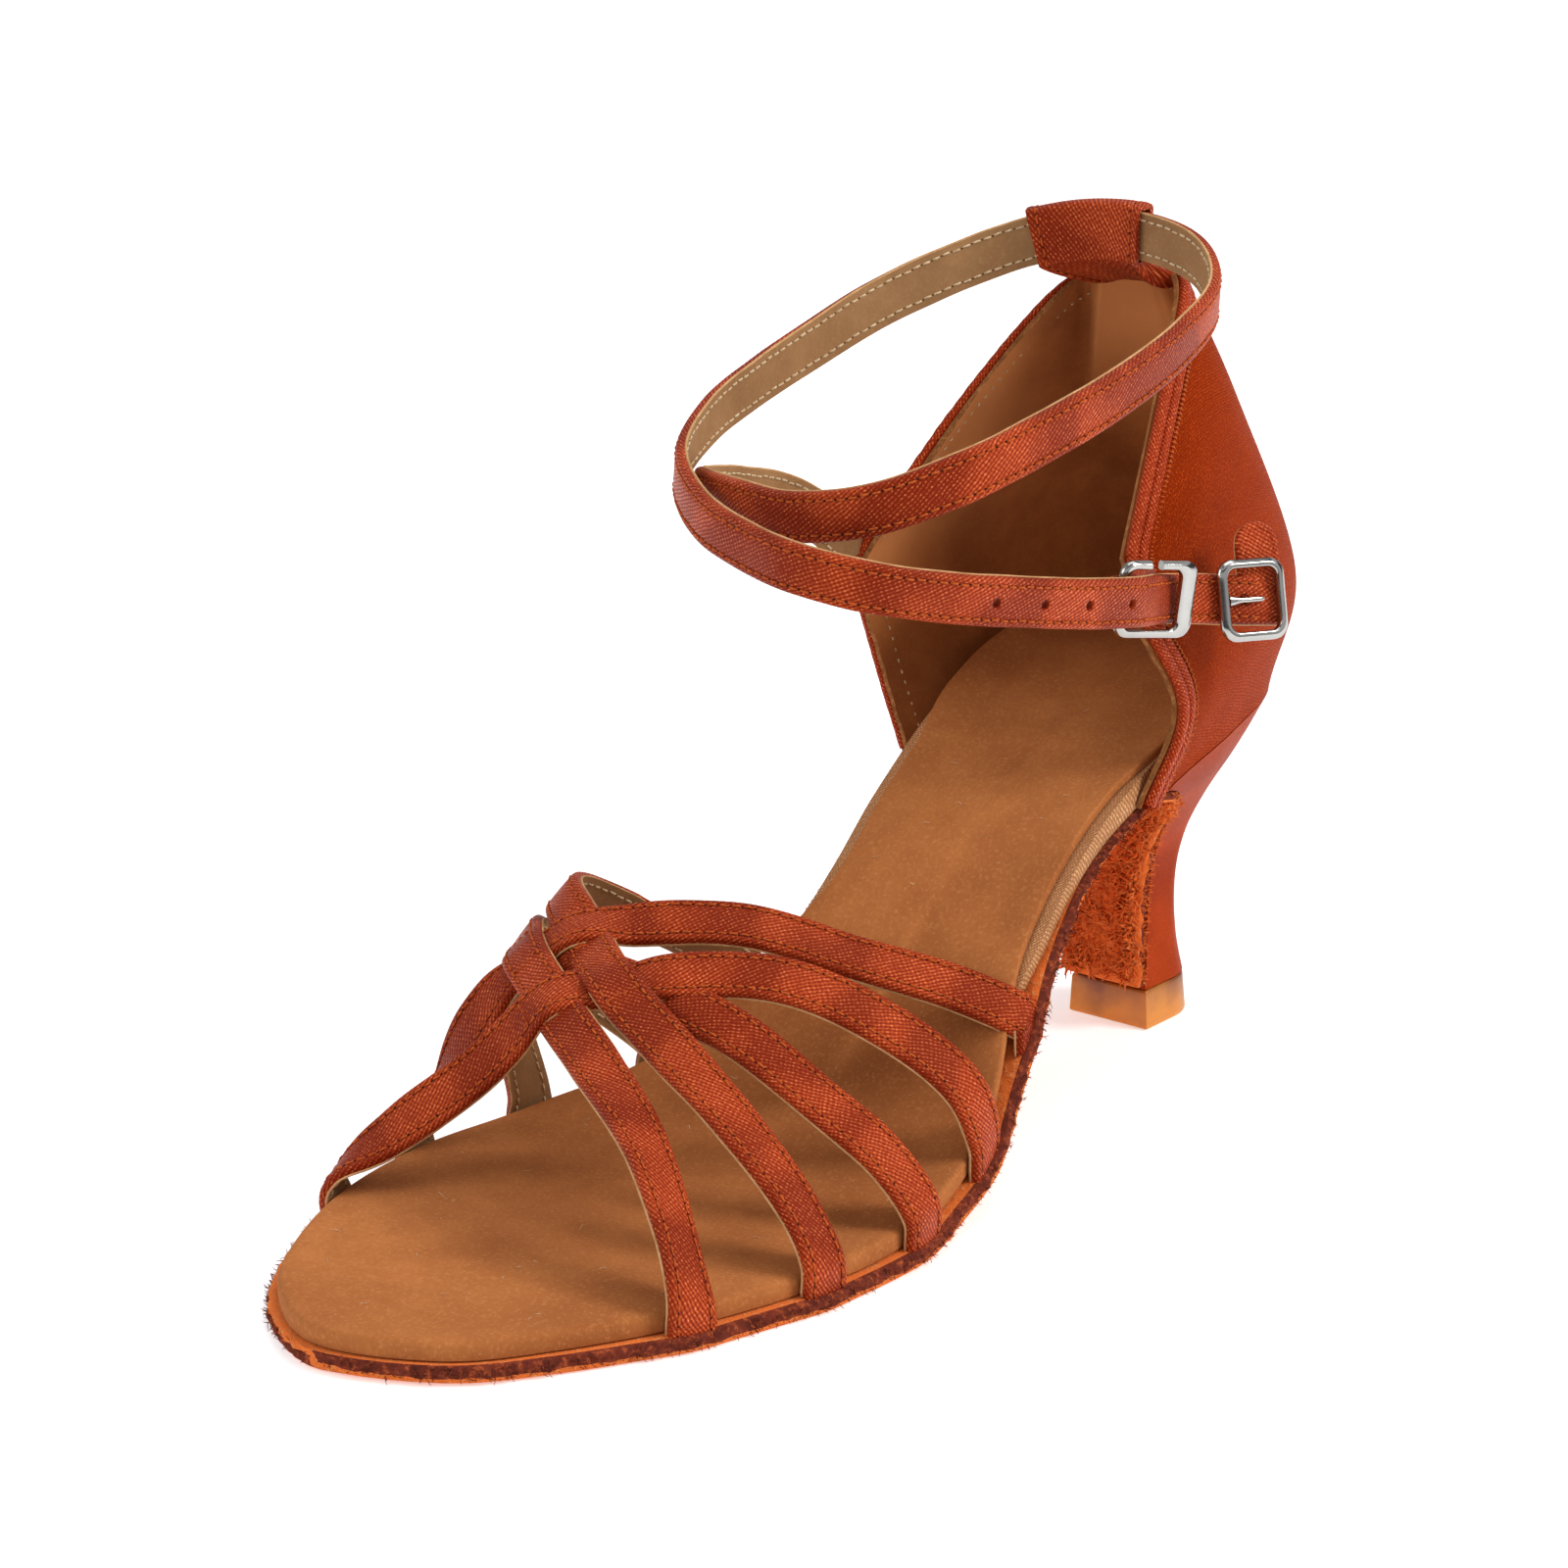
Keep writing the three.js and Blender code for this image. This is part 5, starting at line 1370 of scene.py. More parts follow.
def band_section(half, thickness):
    """(across, out, finish) round the strap, from one edge of the satin and back."""
    b = thickness / 2
    fold = b * -0.55
    top = [(-half, fold), (-half - 0.03, b * 0.1), (-half + 0.05, b * 0.5),
           (-half + 0.25, b * 0.8), (-half + 0.6, b * 0.98), (-half + 0.95, b * 0.98),
           (-half + STITCH_INSET - 0.12, b * 0.86), (-half + STITCH_INSET + 0.12, b * 0.86),
           (-half + 1.6, b * 1.0), (-half + 2.2, b * 1.06), (-half * 0.25, b * 1.1)]
    top += [(-across, out) for across, out in top[::-1]]
    low = [(half + 0.03, fold - 0.02), (half + 0.16, -b * 0.72), (half + 0.12, -b * 0.95),
           (half - 0.1, -b), (half - STITCH_INSET, -b * 0.96), (half * 0.4, -b)]
    low += [(-across, out) for across, out in low[::-1]]
    strips = [SATIN_STRIP] * (len(top) - 1) + [EDGE_STRIP] * 3 + [LINING_STRIP] * (
        len(low) - 6) + [EDGE_STRIP] * 3
    return np.array(top + low), strips + [EDGE_STRIP] * (len(top) + len(low) - len(strips))


class Band:
    """Frames along a curve: where the strap's middle is, and which way it lies."""

    def __init__(self, curve, facing, spacing=0.8, start=0.0, stop=1.0):
        count = max(int(curve.length() * (stop - start) / spacing), 8)
        every = curve.even_shares(4001)
        self.share = every[np.linspace(start * 4000, stop * 4000, count).astype(int)]
        self.point = curve.at(self.share)
        self.tangent = curve.tangent(self.share)
        self.width = unit(np.cross(self.tangent, facing(self.point, self.share)))
        self.normal = unit(np.cross(self.width, self.tangent))
        steps = np.linalg.norm(np.diff(self.point, axis=0), axis=1)
        self.run = np.concatenate([[0], np.cumsum(steps)])

    def place(self, run, across, out):
        """Points at distances along the band, off its middle line."""
        def pick(values):
            return np.stack([np.interp(run, self.run, values[:, k]) for k in range(3)], 1)
        across, out = np.reshape(across, (-1, 1)), np.reshape(out, (-1, 1))
        return pick(self.point) + unit(pick(self.width)) * across + unit(pick(self.normal)) * out


def sweep(name, band, materials, half=STRAP_WIDTH / 2, thickness=STRAP_THICKNESS, seed=0.0):
    section, strips = band_section(half, thickness)
    rings = []
    for k, run in enumerate(band.run):
        wobble = noise.noise(Vector((run * 0.12, seed, 0))) * 0.1
        pucker = 1 + 0.05 * math.cos(2 * math.pi * run / STITCH_PITCH)
        across, out = section[:, 0] * (1 + wobble * 0.25), section[:, 1].copy()
        troughs = np.exp(-(((np.abs(section[:, 0]) - half + STITCH_INSET) / 0.5) ** 2))
        out = out * (1 + (pucker - 1) * troughs)
        rings.append(band.point[k] + band.width[k] * across[:, None]
                     + band.normal[k] * out[:, None])
    return skin(name, rings, materials, strips, sharp=55, start=seed * 13)


STITCH_PITCH = 1.9


def stitch_row(band, across, start, stop, face=1, thickness=STRAP_THICKNESS,
               pitch=STITCH_PITCH, dip=0.3, rise=0.13):
    """Stitches beside a strap's edge, each arching from hole to hole, and the painted shade at the
    holes.
    """
    rows, holes = [], []
    level = face * thickness * 0.46
    for k in range(int((stop - start) / pitch)):
        first = start + k * pitch
        runs = first + pitch * np.array([0.1, 0.22, 0.5, 0.78, 0.9])
        arch = face * np.array([-dip, rise * 0.5, rise, rise * 0.5, -dip])
        wander = 0.07 * math.sin(k * 2.3) + 0.04 * math.sin(k * 5.1)
        rows.append(band.place(runs, np.full(5, across + wander), level + arch))
        gap = first + pitch * np.array([-0.12, 0.0, 0.12])
        holes.append(band.place(gap, np.full(3, across + wander), np.full(3, level - face * 0.06)))
    return rows, holes


def seam(name, rows, light, dark):
    """One piece of thread from several rows of stitches."""
    stitches = [stitch for row in rows for stitch in row[0]]
    holes = [hole for row in rows for hole in row[1]]
    return threads(name, stitches, light, holes=holes, dark=dark)


print("stitch pitch", STITCH_PITCH, "mm")

# %% [markdown]
# The front is woven from five straps. Each starts between the insole and the outsole on one
# side, runs over the foot and goes in again on the other. Where two cross, one rises and the
# other dips, so the table says at which crossing each strap is lifted and by how much.

# %% Front straps: tables
CROSSINGS = {
    "upper": (-0.70, 0.333, 0.845), "front": (-0.38, 0.292, 0.800),
    "back": (-0.53, 0.357, 0.935), "lower": (-0.20, 0.320, 0.865),
}
STRAP_WAYS = {
    "first": [(0.69, 0.192, 0.36), (0.40, 0.224, 0.56), (0.00, 0.259, 0.70), "front", "upper",
              (-0.93, 0.382, 0.80), (-0.93, 0.430, 0.57)],
    "second": [(0.86, 0.282, 0.34), (0.57, 0.286, 0.56), (0.19, 0.297, 0.745), "lower", "back",
               (-0.86, 0.408, 0.95), (-0.84, 0.468, 0.79)],
    "third": [(0.89, 0.372, 0.37), (0.63, 0.357, 0.56), (0.30, 0.346, 0.74),
              (-0.06, 0.336, 0.83), (-0.45, 0.332, 0.86), (-0.76, 0.344, 0.79),
              (-0.95, 0.363, 0.49)],
    "fourth": [(0.87, 0.463, 0.49), (0.61, 0.433, 0.72), (0.27, 0.391, 0.875), "lower", "front",
               (-0.598, 0.252, 0.549), (-0.831, 0.214, 0.338)],
    "fifth": [(0.60, 0.529, 0.69), (0.28, 0.481, 0.82), (-0.07, 0.428, 0.955), "back", "upper",
              (-0.848, 0.305, 0.609), (-0.97, 0.292, 0.364)],
}
LIFT, REACH = 0.6, 9.0
WEAVE = [
    ("upper", "first", LIFT), ("upper", "fifth", -LIFT), ("front", "fourth", LIFT),
    ("front", "first", -LIFT), ("back", "fifth", LIFT), ("back", "second", -LIFT),
    ("lower", "second", LIFT), ("lower", "fourth", -LIFT),
]
UNDER_WEAVE = -0.45
WEAVE_MIDDLE = (-0.45, 0.325, 0.86)
WEAVE_TURN, WEAVE_REACH = 0.75, 26.0
TOE_WAY = np.array([0.3, -1.0, 0.0])
LEG_TURN = {"fourth": 1.9, "fifth": 1.9}
TURNS_OUT = {"first": (0.76, 0.9), "second": (0.76, 0.9), "third": (0.76, 0.9),
             "fourth": (0.7, 0.95), "fifth": (0.66, 0.92)}


def strap_spot(way):
    shares = CROSSINGS[way] if isinstance(way, str) else way
    return np.array(shares) * np.array([HALF_BALL, FOOT_LENGTH, INSTEP_HEIGHT])


def strap_end(share, side, above_share=0.6):
    offset = 1.5 * GAP + STRAP_THICKNESS / 2
    top = rim(place_at(share * FOOT_LENGTH, side, offset), side, offset)[0]
    lower, above = top.copy(), top.copy()
    lower[2] -= STRAP_WIDTH
    above[2] += above_share * STRAP_WIDTH
    return [lower, top, above]


def rim_outward(along, side):
    place = place_at(along, side)
    return (rim(place, side, 1) - rim(place, side))[0]


def away_from_foot(points):
    wide = (points[:, 0] + 0.1 * HALF_BALL) / HALF_BALL**2
    high = np.maximum(points[:, 2] - OUTSOLE, 0)
    return unit(np.stack([wide, -0.5 * high**2 / INSTEP_HEIGHT**3,
                          high / INSTEP_HEIGHT**2], 1))


def toe_turn(name, points, shares):
    """The weave leans toe-wards, and two straps turn on that way beyond it."""
    away = np.linalg.norm(points - strap_spot(WEAVE_MIDDLE), axis=1) / WEAVE_REACH
    turn = WEAVE_TURN * np.exp(-(away**2))
    start, stop = TURNS_OUT[name]
    leg = smoothstep(shares, 0.5, 0.72) * (1 - smoothstep(shares, start, stop))
    return (turn + LEG_TURN.get(name, 0.0) * leg)[:, None] * TOE_WAY


def strap_curve(name):
    outer_end, inner_end = STRAP_ENDS[name]
    low_bend = 0.05 if name == "fifth" else 0.6
    points = strap_end(outer_end, 1, low_bend) + [strap_spot(w) for w in STRAP_WAYS[name]]
    return Smooth(points + strap_end(inner_end, -1)[::-1], even=True)


def crossing_facing(crossing):
    """Two crossed straps lie on each other, so they share the normal of both directions."""
    ways = []
    for name in (strap for at, strap, _ in WEAVE if at == crossing):
        curve = strap_curve(name)
        shares = curve.even_shares(1201)
        away = np.linalg.norm(curve.at(shares) - strap_spot(crossing), axis=1)
        ways.append(curve.tangent(shares[[away.argmin()]])[0])
    normal = unit(np.cross(*ways))
    return normal * np.sign(normal[2])


CROSSING_FACING = {crossing: crossing_facing(crossing) for crossing in CROSSINGS}
CROSSING_HOLD, CROSSING_SPREAD = 0.85, 7.5


def strap_band(name):
    outer_end, inner_end = STRAP_ENDS[name]
    outer_way = rim_outward(outer_end * FOOT_LENGTH, 1)
    inner_way = rim_outward(inner_end * FOOT_LENGTH, -1)
    own_crossings = [crossing for crossing, strap, _ in WEAVE if strap == name]

    def facing(points, shares):
        way = unit(away_from_foot(points) + toe_turn(name, points, shares))
        for crossing in own_crossings:
            away = np.linalg.norm(points - strap_spot(crossing), axis=1) / CROSSING_SPREAD
            hold = CROSSING_HOLD * np.exp(-(away**2))[:, None]
            way = way + (CROSSING_FACING[crossing] - way) * hold
        way = way + (outer_way - way) * (1 - smoothstep(shares, 0.1, 0.24))[:, None]
        return way + (inner_way - way) * smoothstep(shares, *TURNS_OUT[name])[:, None]

    band = Band(strap_curve(name), facing)
    lift = np.zeros(len(band.point))
    for crossing, strap, height in WEAVE:
        if strap == name:
            away = np.linalg.norm(band.point - strap_spot(crossing), axis=1) / REACH
            lift += (0.5 + 0.5 * np.cos(math.pi * np.minimum(away, 1))) * height
    if name == "third":
        nearest = np.min([np.linalg.norm(band.point - strap_spot(c), axis=1)
                          for c in CROSSINGS], axis=0)
        lift += UNDER_WEAVE * (1 - smoothstep(nearest, 4.0, 14.0))
    band.point = band.point + band.normal * (lift * STRAP_THICKNESS)[:, None]
    return band


STRAP_BANDS = {name: strap_band(name) for name in STRAP_WAYS}
for name, band in STRAP_BANDS.items():
    print(name, "strap", round(band.run[-1]), "mm")

# %% [markdown]
# The straps are cut off level with the top of the outsole, where they disappear into the shoe.
# A plane through each end does that, tilted with the sole under the instep.

# %% Front straps
SINK = 0.5


def cut_level(piece, ends):
    """Cuts a strap where it enters the sole, and closes the cut."""
    build = bmesh.new()
    build.from_mesh(piece.data)
    for share, side in ends:
        place = place_at(share * FOOT_LENGTH, side)
        edge = rim(np.array([place - 0.2, place + 0.2]), side)
        slope = unit(edge[1] - edge[0])
        normal = unit(np.array([0, -slope[2], abs(slope[1])]))
        spot = edge.mean(axis=0) - normal * SINK
        cut = bmesh.ops.bisect_plane(
            build, geom=build.verts[:] + build.edges[:] + build.faces[:],
            plane_co=to_frame(spot), plane_no=normal, clear_inner=True)
        rim_edges = [e for e in cut["geom_cut"] if isinstance(e, bmesh.types.BMEdge)]
        bmesh.ops.edgenet_fill(build, edges=rim_edges)
    build.to_mesh(piece.data)
    build.free()


EDGE_LINE = STRAP_WIDTH / 2 - STITCH_INSET


def strap_seams(name, band, start=8.0, spare=8.0):
    """Two rows of stitches on the satin, and the same two as they show on the lining."""
    stop = band.run[-1] - spare
    top = [stitch_row(band, side * EDGE_LINE, start, stop) for side in (-1, 1)]
    low = [stitch_row(band, side * EDGE_LINE, start, stop, face=-1) for side in (-1, 1)]
    dress(seam(f"{name}_stitches", top, orange_thread, stitch_hole_shade), "satin")
    dress(seam(f"{name}_lining_stitches", low, pale_thread, lining_hole_shade), "satin")


for index, (name, band) in enumerate(STRAP_BANDS.items()):
    strap = sweep(f"strap_{name}", band, [strap_satin, raw_edge, strap_lining], seed=index * 7.0)
    cut_level(strap, [(STRAP_ENDS[name][0], 1), (STRAP_ENDS[name][1], -1)])
    dress(strap, "satin", "front_straps")
    strap_seams(f"strap_{name}", band)

# %% [markdown]
# Where two straps cross, a few stitches across the upper one tack them together. They are
# sewn by hand, so they are longer than the machine's and lie less true.

# %% Tacks at the crossings
TACK_AWAY = 4.6


def tack_row(band, run, seed):
    rows = []
    for k, across in enumerate(np.arange(-2.9, 2.5, 1.35)):
        spots = across + 1.35 * np.array([0.08, 0.3, 0.7, 0.92])
        drift = 0.25 * math.sin(seed * 3.1 + k * 1.7)
        runs = run + drift + 0.25 * math.sin(k + seed) * np.array([0, 0.3, 0.7, 1])
        arch = STRAP_THICKNESS * 0.5 + np.array([-0.25, 0.16, 0.16, -0.25])
        rows.append(band.place(runs, spots, arch))
    return rows


tacks = []
for crossing, strap, lift in WEAVE:
    if lift > 0:
        band = STRAP_BANDS[strap]
        nearest = np.argmin(np.linalg.norm(band.point - strap_spot(crossing), axis=1))
        for side in (-1, 1):
            tacks += tack_row(band, band.run[nearest] + side * TACK_AWAY, nearest * 0.1 + side)
dress(threads("strap_tacks", tacks, orange_thread, 0.16), "satin")

# %% [markdown]
# One long strap closes the shoe. It is sewn to the inner edge of the counter, goes round the
# front of the ankle, back through the loop at the top of the heel, round again, and hooks behind
# the ring on the outer side. Its last stretch runs through the buckle, and the tip stands up.

# %% Ankle strap: the way it takes
ANKLE_ROWS = [
    (-0.724, 0.7455, 0.6031), (-0.767, 0.7140, 0.6679), (-0.800, 0.6622, 0.7366),
    (-0.738, 0.5856, 0.7824), (-0.619, 0.5293, 0.8092), (-0.417, 0.4820, 0.8336),
    (-0.119, 0.4518, 0.8466), (0.214, 0.4423, 0.8504), (0.524, 0.4572, 0.8687),
    (0.750, 0.5068, 0.9008), (0.852, 0.5766, 0.9313), (0.876, 0.6577, 0.9588),
    (0.831, 0.7387, 0.9863), (0.721, 0.8063, 1.0137), (0.488, 0.8495, 1.0412),
    (0.214, 0.8640, 1.0550), (-0.048, 0.8631, 1.0550), (-0.305, 0.8468, 1.0397),
    (-0.545, 0.8081, 1.0076), (-0.710, 0.7477, 0.9710), (-0.762, 0.6802, 0.9374),
    (-0.748, 0.6126, 0.9130), (-0.667, 0.5428, 0.8931), (-0.488, 0.4721, 0.8649),
    (-0.190, 0.4297, 0.8366), (0.119, 0.4108, 0.8206), (0.381, 0.4036, 0.8115),
    (0.631, 0.4252, 0.7931), (0.795, 0.4775, 0.7672), (0.876, 0.5450, 0.7389),
    (0.914, 0.6126, 0.7115), (0.905, 0.6685, 0.6908), (0.862, 0.6982, 0.6794),
    (0.831, 0.7279, 0.6672), (0.867, 0.7568, 0.6573), (0.945, 0.7856, 0.6481),
    (1.010, 0.8135, 0.6397),
]
ANKLE_AXIS = 0.65
SEWN_START = 0.0152


def ankle_spot(row):
    return np.array(row) * np.array([HALF_BALL, FOOT_LENGTH, COLLAR_HEIGHT])


def away_from_ankle(points, shares=None):
    way = np.array(points) - np.array([0.0, ANKLE_AXIS * FOOT_LENGTH, 0.0])
    way[:, 2] = 0.0
    return unit(way)


ANKLE_BAND = Band(Smooth([ankle_spot(row) for row in ANKLE_ROWS], even=True), away_from_ankle,
                  start=SEWN_START)
ANKLE_UP = np.where(ANKLE_BAND.width[:, 2:] > 0, ANKLE_BAND.width, -ANKLE_BAND.width)


def nearest_on_ankle(row):
    return int(np.argmin(np.linalg.norm(ANKLE_BAND.point - ankle_spot(row), axis=1)))


print("ankle strap", round(ANKLE_BAND.run[-1]), "mm")

# %% [markdown]
# The holes are real holes, cut by a Boolean with small pegs, because light shows through them.
# They are given by their distance from the strap's free end.

# %% Ankle strap
HOLES_FROM_END = [7.5, 39.1, 50.2, 60.4, 70.8]
HOLE_RADIUS = 0.85


def peg(run, radius=HOLE_RADIUS, sides=14, reach=3.0):
    ring = []
    for level in (-reach, reach):
        turns = np.linspace(0, 2 * math.pi, sides, endpoint=False)
        ring.append(ANKLE_BAND.place(run + radius * np.cos(turns), radius * np.sin(turns),
                                     np.full(sides, level)))
    return ring


def punch(piece, cutters):
    """Cuts the pegs out of a piece, keeps the result and drops the pegs."""
    cut = piece.modifiers.new("punch", "BOOLEAN")
    cut.solver = "EXACT"
    cut.operation = "DIFFERENCE"
    cut.object = cutters
    shown = piece.evaluated_get(bpy.context.evaluated_depsgraph_get())
    mesh = bpy.data.meshes.new_from_object(shown)
    piece.modifiers.clear()
    piece.data = mesh
    bpy.data.objects.remove(cutters)


ankle_strap = sweep("ankle_strap", ANKLE_BAND, [strap_satin, raw_edge, strap_lining], seed=50.0)
peg_points, peg_faces = [], []
for distance in HOLES_FROM_END:
    low, high = peg(ANKLE_BAND.run[-1] - distance)
    base, sides = len(peg_points), len(low)
    peg_points += list(low) + list(high)
    peg_faces += [(base + t, base + (t + 1) % sides, base + sides + (t + 1) % sides,
                   base + sides + t) for t in range(sides)]
    peg_faces += [tuple(range(base + sides - 1, base - 1, -1)),
                  tuple(range(base + sides, base + 2 * sides))]
punch(ankle_strap, new_piece("pegs", np.array(peg_points), peg_faces, [stitch_hole_shade]))
dress(ankle_strap, "satin", "ankle_strap")
strap_seams("ankle_strap", ANKLE_BAND, start=3.0, spare=3.0)

# %% [markdown]
# The tip of the strap and small flat patches like it are cut from the same layered material:
# an outline, drawn in by steps on the satin side so that the edge is soft.

# %% Strap tip
def patch(name, outline, inward, origin, axes, thickness, materials):
    """A flat padded shape. outline and inward are 2-D points, axes are across, up and out."""
    outline, inward = np.asarray(outline, float), np.asarray(inward, float)
    b = thickness / 2
    levels = [(0.9, -b), (0.2, -b), (0.05, -b * 0.6), (0.0, -b * 0.3), (-0.02, 0.1 * b),
              (0.05, b * 0.5), (0.25, b * 0.85), (0.6, b), (1.1, b * 0.98), (1.3, b * 0.86),
              (1.6, b), (2.2, b * 1.06)]
    finish = [2, 1, 1] + [0] * 8
    across, up, out = axes
    rings = []
    for inset, level in levels:
        flat = outline + inward * inset
        rings.append(origin + flat[:, :1] * across + flat[:, 1:] * up + level * out)
    rings = np.array(rings)
    count = rings.shape[1]
    faces, kinds, cloth = [], [], []
    flats = [outline + inward * inset for inset, _ in levels]
    for i in range(len(levels) - 1):
        for j in range(count):
            k = (j + 1) % count
            faces.append((i * count + j, i * count + k, (i + 1) * count + k, (i + 1) * count + j))
            kinds.append(finish[i])
            cloth += [tuple(flats[i][j]), tuple(flats[i][k]), tuple(flats[i + 1][k]),
                      tuple(flats[i + 1][j])]
    for i, kind in ((0, 2), (len(levels) - 1, 0)):
        order = range(count) if i else range(count - 1, -1, -1)
        faces.append(tuple(i * count + j for j in order))
        kinds.append(kind)
        cloth += [tuple(flats[i][j]) for j in order]
    return new_piece(name, rings.reshape(-1, 3), faces, materials, kinds, cloth, 50)


def tip_outline(half, length):
    """A strip with a round end: the outline and, for each point, the way inwards."""
    points, inward = [], []
    for share in np.linspace(0, 1, 12):
        points.append((half, share * (length - half)))
        inward.append((-1.0, 0.4 if share == 0 else 0.0))
    for turn in np.linspace(0, math.pi, 20)[1:-1]:
        points.append((half * math.cos(turn), length - half + half * math.sin(turn)))
        inward.append((-math.cos(turn), -math.sin(turn)))
    for share in np.linspace(1, 0, 12):
        points.append((-half, share * (length - half)))
        inward.append((1.0, 0.4 if share == 0 else 0.0))
    return points, inward


STRAP_TIP = 13.0
TIP_LEAN = 0.08
end_point, end_tangent = ANKLE_BAND.point[-1], ANKLE_BAND.tangent[-1]
end_out = ANKLE_BAND.normal[-1] * np.sign(
    (ANKLE_BAND.normal[-1] * away_from_ankle(end_point[None])[0]).sum())
tip_up = unit(ANKLE_UP[-1] - end_tangent * TIP_LEAN)
tip_across = unit(np.cross(tip_up, end_out))
tip_out = unit(np.cross(tip_across, tip_up))
tip_origin = end_point - end_tangent * STRAP_WIDTH * 0.45
strap_tip = patch("ankle_strap_tip", *tip_outline(STRAP_WIDTH / 2, STRAP_TIP), tip_origin,
                  (tip_across, tip_up, tip_out), STRAP_THICKNESS,
                  [strap_satin, raw_edge, strap_lining])
dress(strap_tip, "satin", "ankle_strap")

# %% [markdown]
# The loop at the back is a sleeve of satin folded round the strap and sewn down to the counter.
# Its section is a closed curve, so the sleeve can hug the strap above and reach back below to
# its root. Both ends are turned in and stitched.

# %% Back loop
LOOP_LENGTH = 23.0
LOOP_WALL = 0.9
LOOP_ROOT = (11.0, -6.4)
LOOP_SPOT = (-0.086, 0.8613, 1.0534)
LOOP_OUT = STRAP_THICKNESS / 2 + GAP
LOOP_HIGH = STRAP_WIDTH / 2 + GAP
LOOP_SECTION = [
    ((LOOP_OUT, 0), (LOOP_OUT + LOOP_WALL, 0)),
    ((LOOP_OUT, LOOP_HIGH * 0.6), (LOOP_OUT + LOOP_WALL, LOOP_HIGH * 0.7)),
    ((LOOP_OUT, LOOP_HIGH), (LOOP_OUT + LOOP_WALL * 0.6, LOOP_HIGH + LOOP_WALL * 0.8)),
    ((0, LOOP_HIGH), (0, LOOP_HIGH + LOOP_WALL * 1.2)),
    ((-LOOP_OUT, LOOP_HIGH), (-LOOP_OUT - LOOP_WALL * 0.6, LOOP_HIGH + LOOP_WALL * 0.8)),
    ((-LOOP_OUT, LOOP_HIGH * 0.6), (-LOOP_OUT - LOOP_WALL, LOOP_HIGH * 0.7)),
    ((-LOOP_OUT, -LOOP_HIGH * 0.6), (-LOOP_OUT - LOOP_WALL, -LOOP_HIGH * 0.7)),
    ((-LOOP_OUT, -LOOP_HIGH), (-LOOP_OUT - LOOP_WALL * 0.5, -LOOP_HIGH - LOOP_WALL)),
    ((0, -LOOP_HIGH), (LOOP_ROOT[0] - 2.4, LOOP_ROOT[1])),
    ((LOOP_OUT, -LOOP_HIGH), (LOOP_ROOT[0], LOOP_ROOT[1])),
    ((LOOP_OUT, -LOOP_HIGH * 0.6), (LOOP_OUT + LOOP_WALL * 3, -LOOP_HIGH * 0.75)),
]
AROUND_LOOP = 66


def loop_curve(which):
    flat = [(pair[which][0], pair[which][1], 0) for pair in LOOP_SECTION]
    return Smooth(flat, closed=True).at(np.arange(AROUND_LOOP) / AROUND_LOOP)[:, :2]


loop_outer, loop_inner = loop_curve(1), loop_curve(0)
loop_middle = nearest_on_ankle(LOOP_SPOT)
loop_step = ANKLE_BAND.run[1]
TAIL_NARROW = 0.72
TAIL_DEEP = 2.4
TAIL_THIN = 0.4
top_run = BORDER_RUN[BORDER[:, 2].argmax()]
along_border = BORDER[BORDER[:, 2].argmax() + 8] - BORDER[BORDER[:, 2].argmax() - 8]
TAIL_SIGN = np.sign((along_border * ANKLE_BAND.tangent[loop_middle]).sum())


def tail_place(k, away):
    """Where the loop's tail is sewn in, between the counter's satin and its lining."""
    run = top_run + TAIL_SIGN * TAIL_NARROW * (k - loop_middle) * loop_step
    inward = (away - LOOP_ROOT[0] + 1.2) * TAIL_THIN - 0.9
    return on_counter([run], TAIL_DEEP, inward)[0]


def loop_place(k, away, rise):
    normal = ANKLE_BAND.normal[k] * np.sign(
        (ANKLE_BAND.normal[k] * away_from_ankle(ANKLE_BAND.point[k:k + 1])[0]).sum())
    free = ANKLE_BAND.point[k] + normal * away + ANKLE_UP[k] * rise
    sewn = float(smoothstep(-rise, LOOP_HIGH + 0.1, -LOOP_ROOT[1] - 0.1))
    return free + (tail_place(k, away) - free) * sewn


loop_reach = int(LOOP_LENGTH / 2 / loop_step)
loop_frames = range(loop_middle - loop_reach, loop_middle + loop_reach + 1)
loop_rings = []
for index in range(AROUND_LOOP):
    ring = []
    for k in loop_frames:
        from_end = (loop_reach - abs(k - loop_middle)) * loop_step
        hem = 0.12 * math.exp(-((from_end - 0.8) / 0.8) ** 2)
        groove = -0.16 * math.exp(-((from_end - 2.0) / 0.45) ** 2)
        pucker = 0.07 * math.sin(index * 0.9 + k * 0.5) * math.exp(-from_end / 5)
        flat = loop_outer[index] + unit(loop_outer[index] - loop_inner[index]) * (
            hem + groove + pucker)
        ring.append(loop_place(k, *flat))
    for k in reversed(loop_frames):
        ring.append(loop_place(k, *loop_inner[index]))
    loop_rings.append(ring)
back_loop = skin("back_loop", loop_rings, [strap_satin], closed=True, sharp=60)
dress(back_loop, "satin", "back_loop")

LOOP_SEAM = 2.0
loop_routes, loop_holes = [], []
for end in (-1, 1):
    k = loop_middle + end * (loop_reach - int(round(LOOP_SEAM / loop_step)))
    path = np.array([loop_place(k, *loop_outer[i]) for i in list(range(AROUND_LOOP)) + [0]])
    run = np.concatenate([[0], np.cumsum(np.linalg.norm(np.diff(path, axis=0), axis=1))])
    for first in np.arange(0, run[-1] - STITCH_PITCH, STITCH_PITCH):
        spots = first + STITCH_PITCH * np.array([0.1, 0.3, 0.5, 0.7, 0.9])
        loop_routes.append(np.stack([np.interp(spots, run, path[:, c]) for c in range(3)], 1))
        spots = first + STITCH_PITCH * np.array([-0.1, 0.0, 0.1])
        loop_holes.append(np.stack([np.interp(spots, run, path[:, c]) for c in range(3)], 1))
# The holes of the loop's seams get the same dark tubes of painted shade.
dress(threads("back_loop_stitches", loop_routes, orange_thread, 0.15, loop_holes, stitch_hole_shade,
              0.17), "satin")

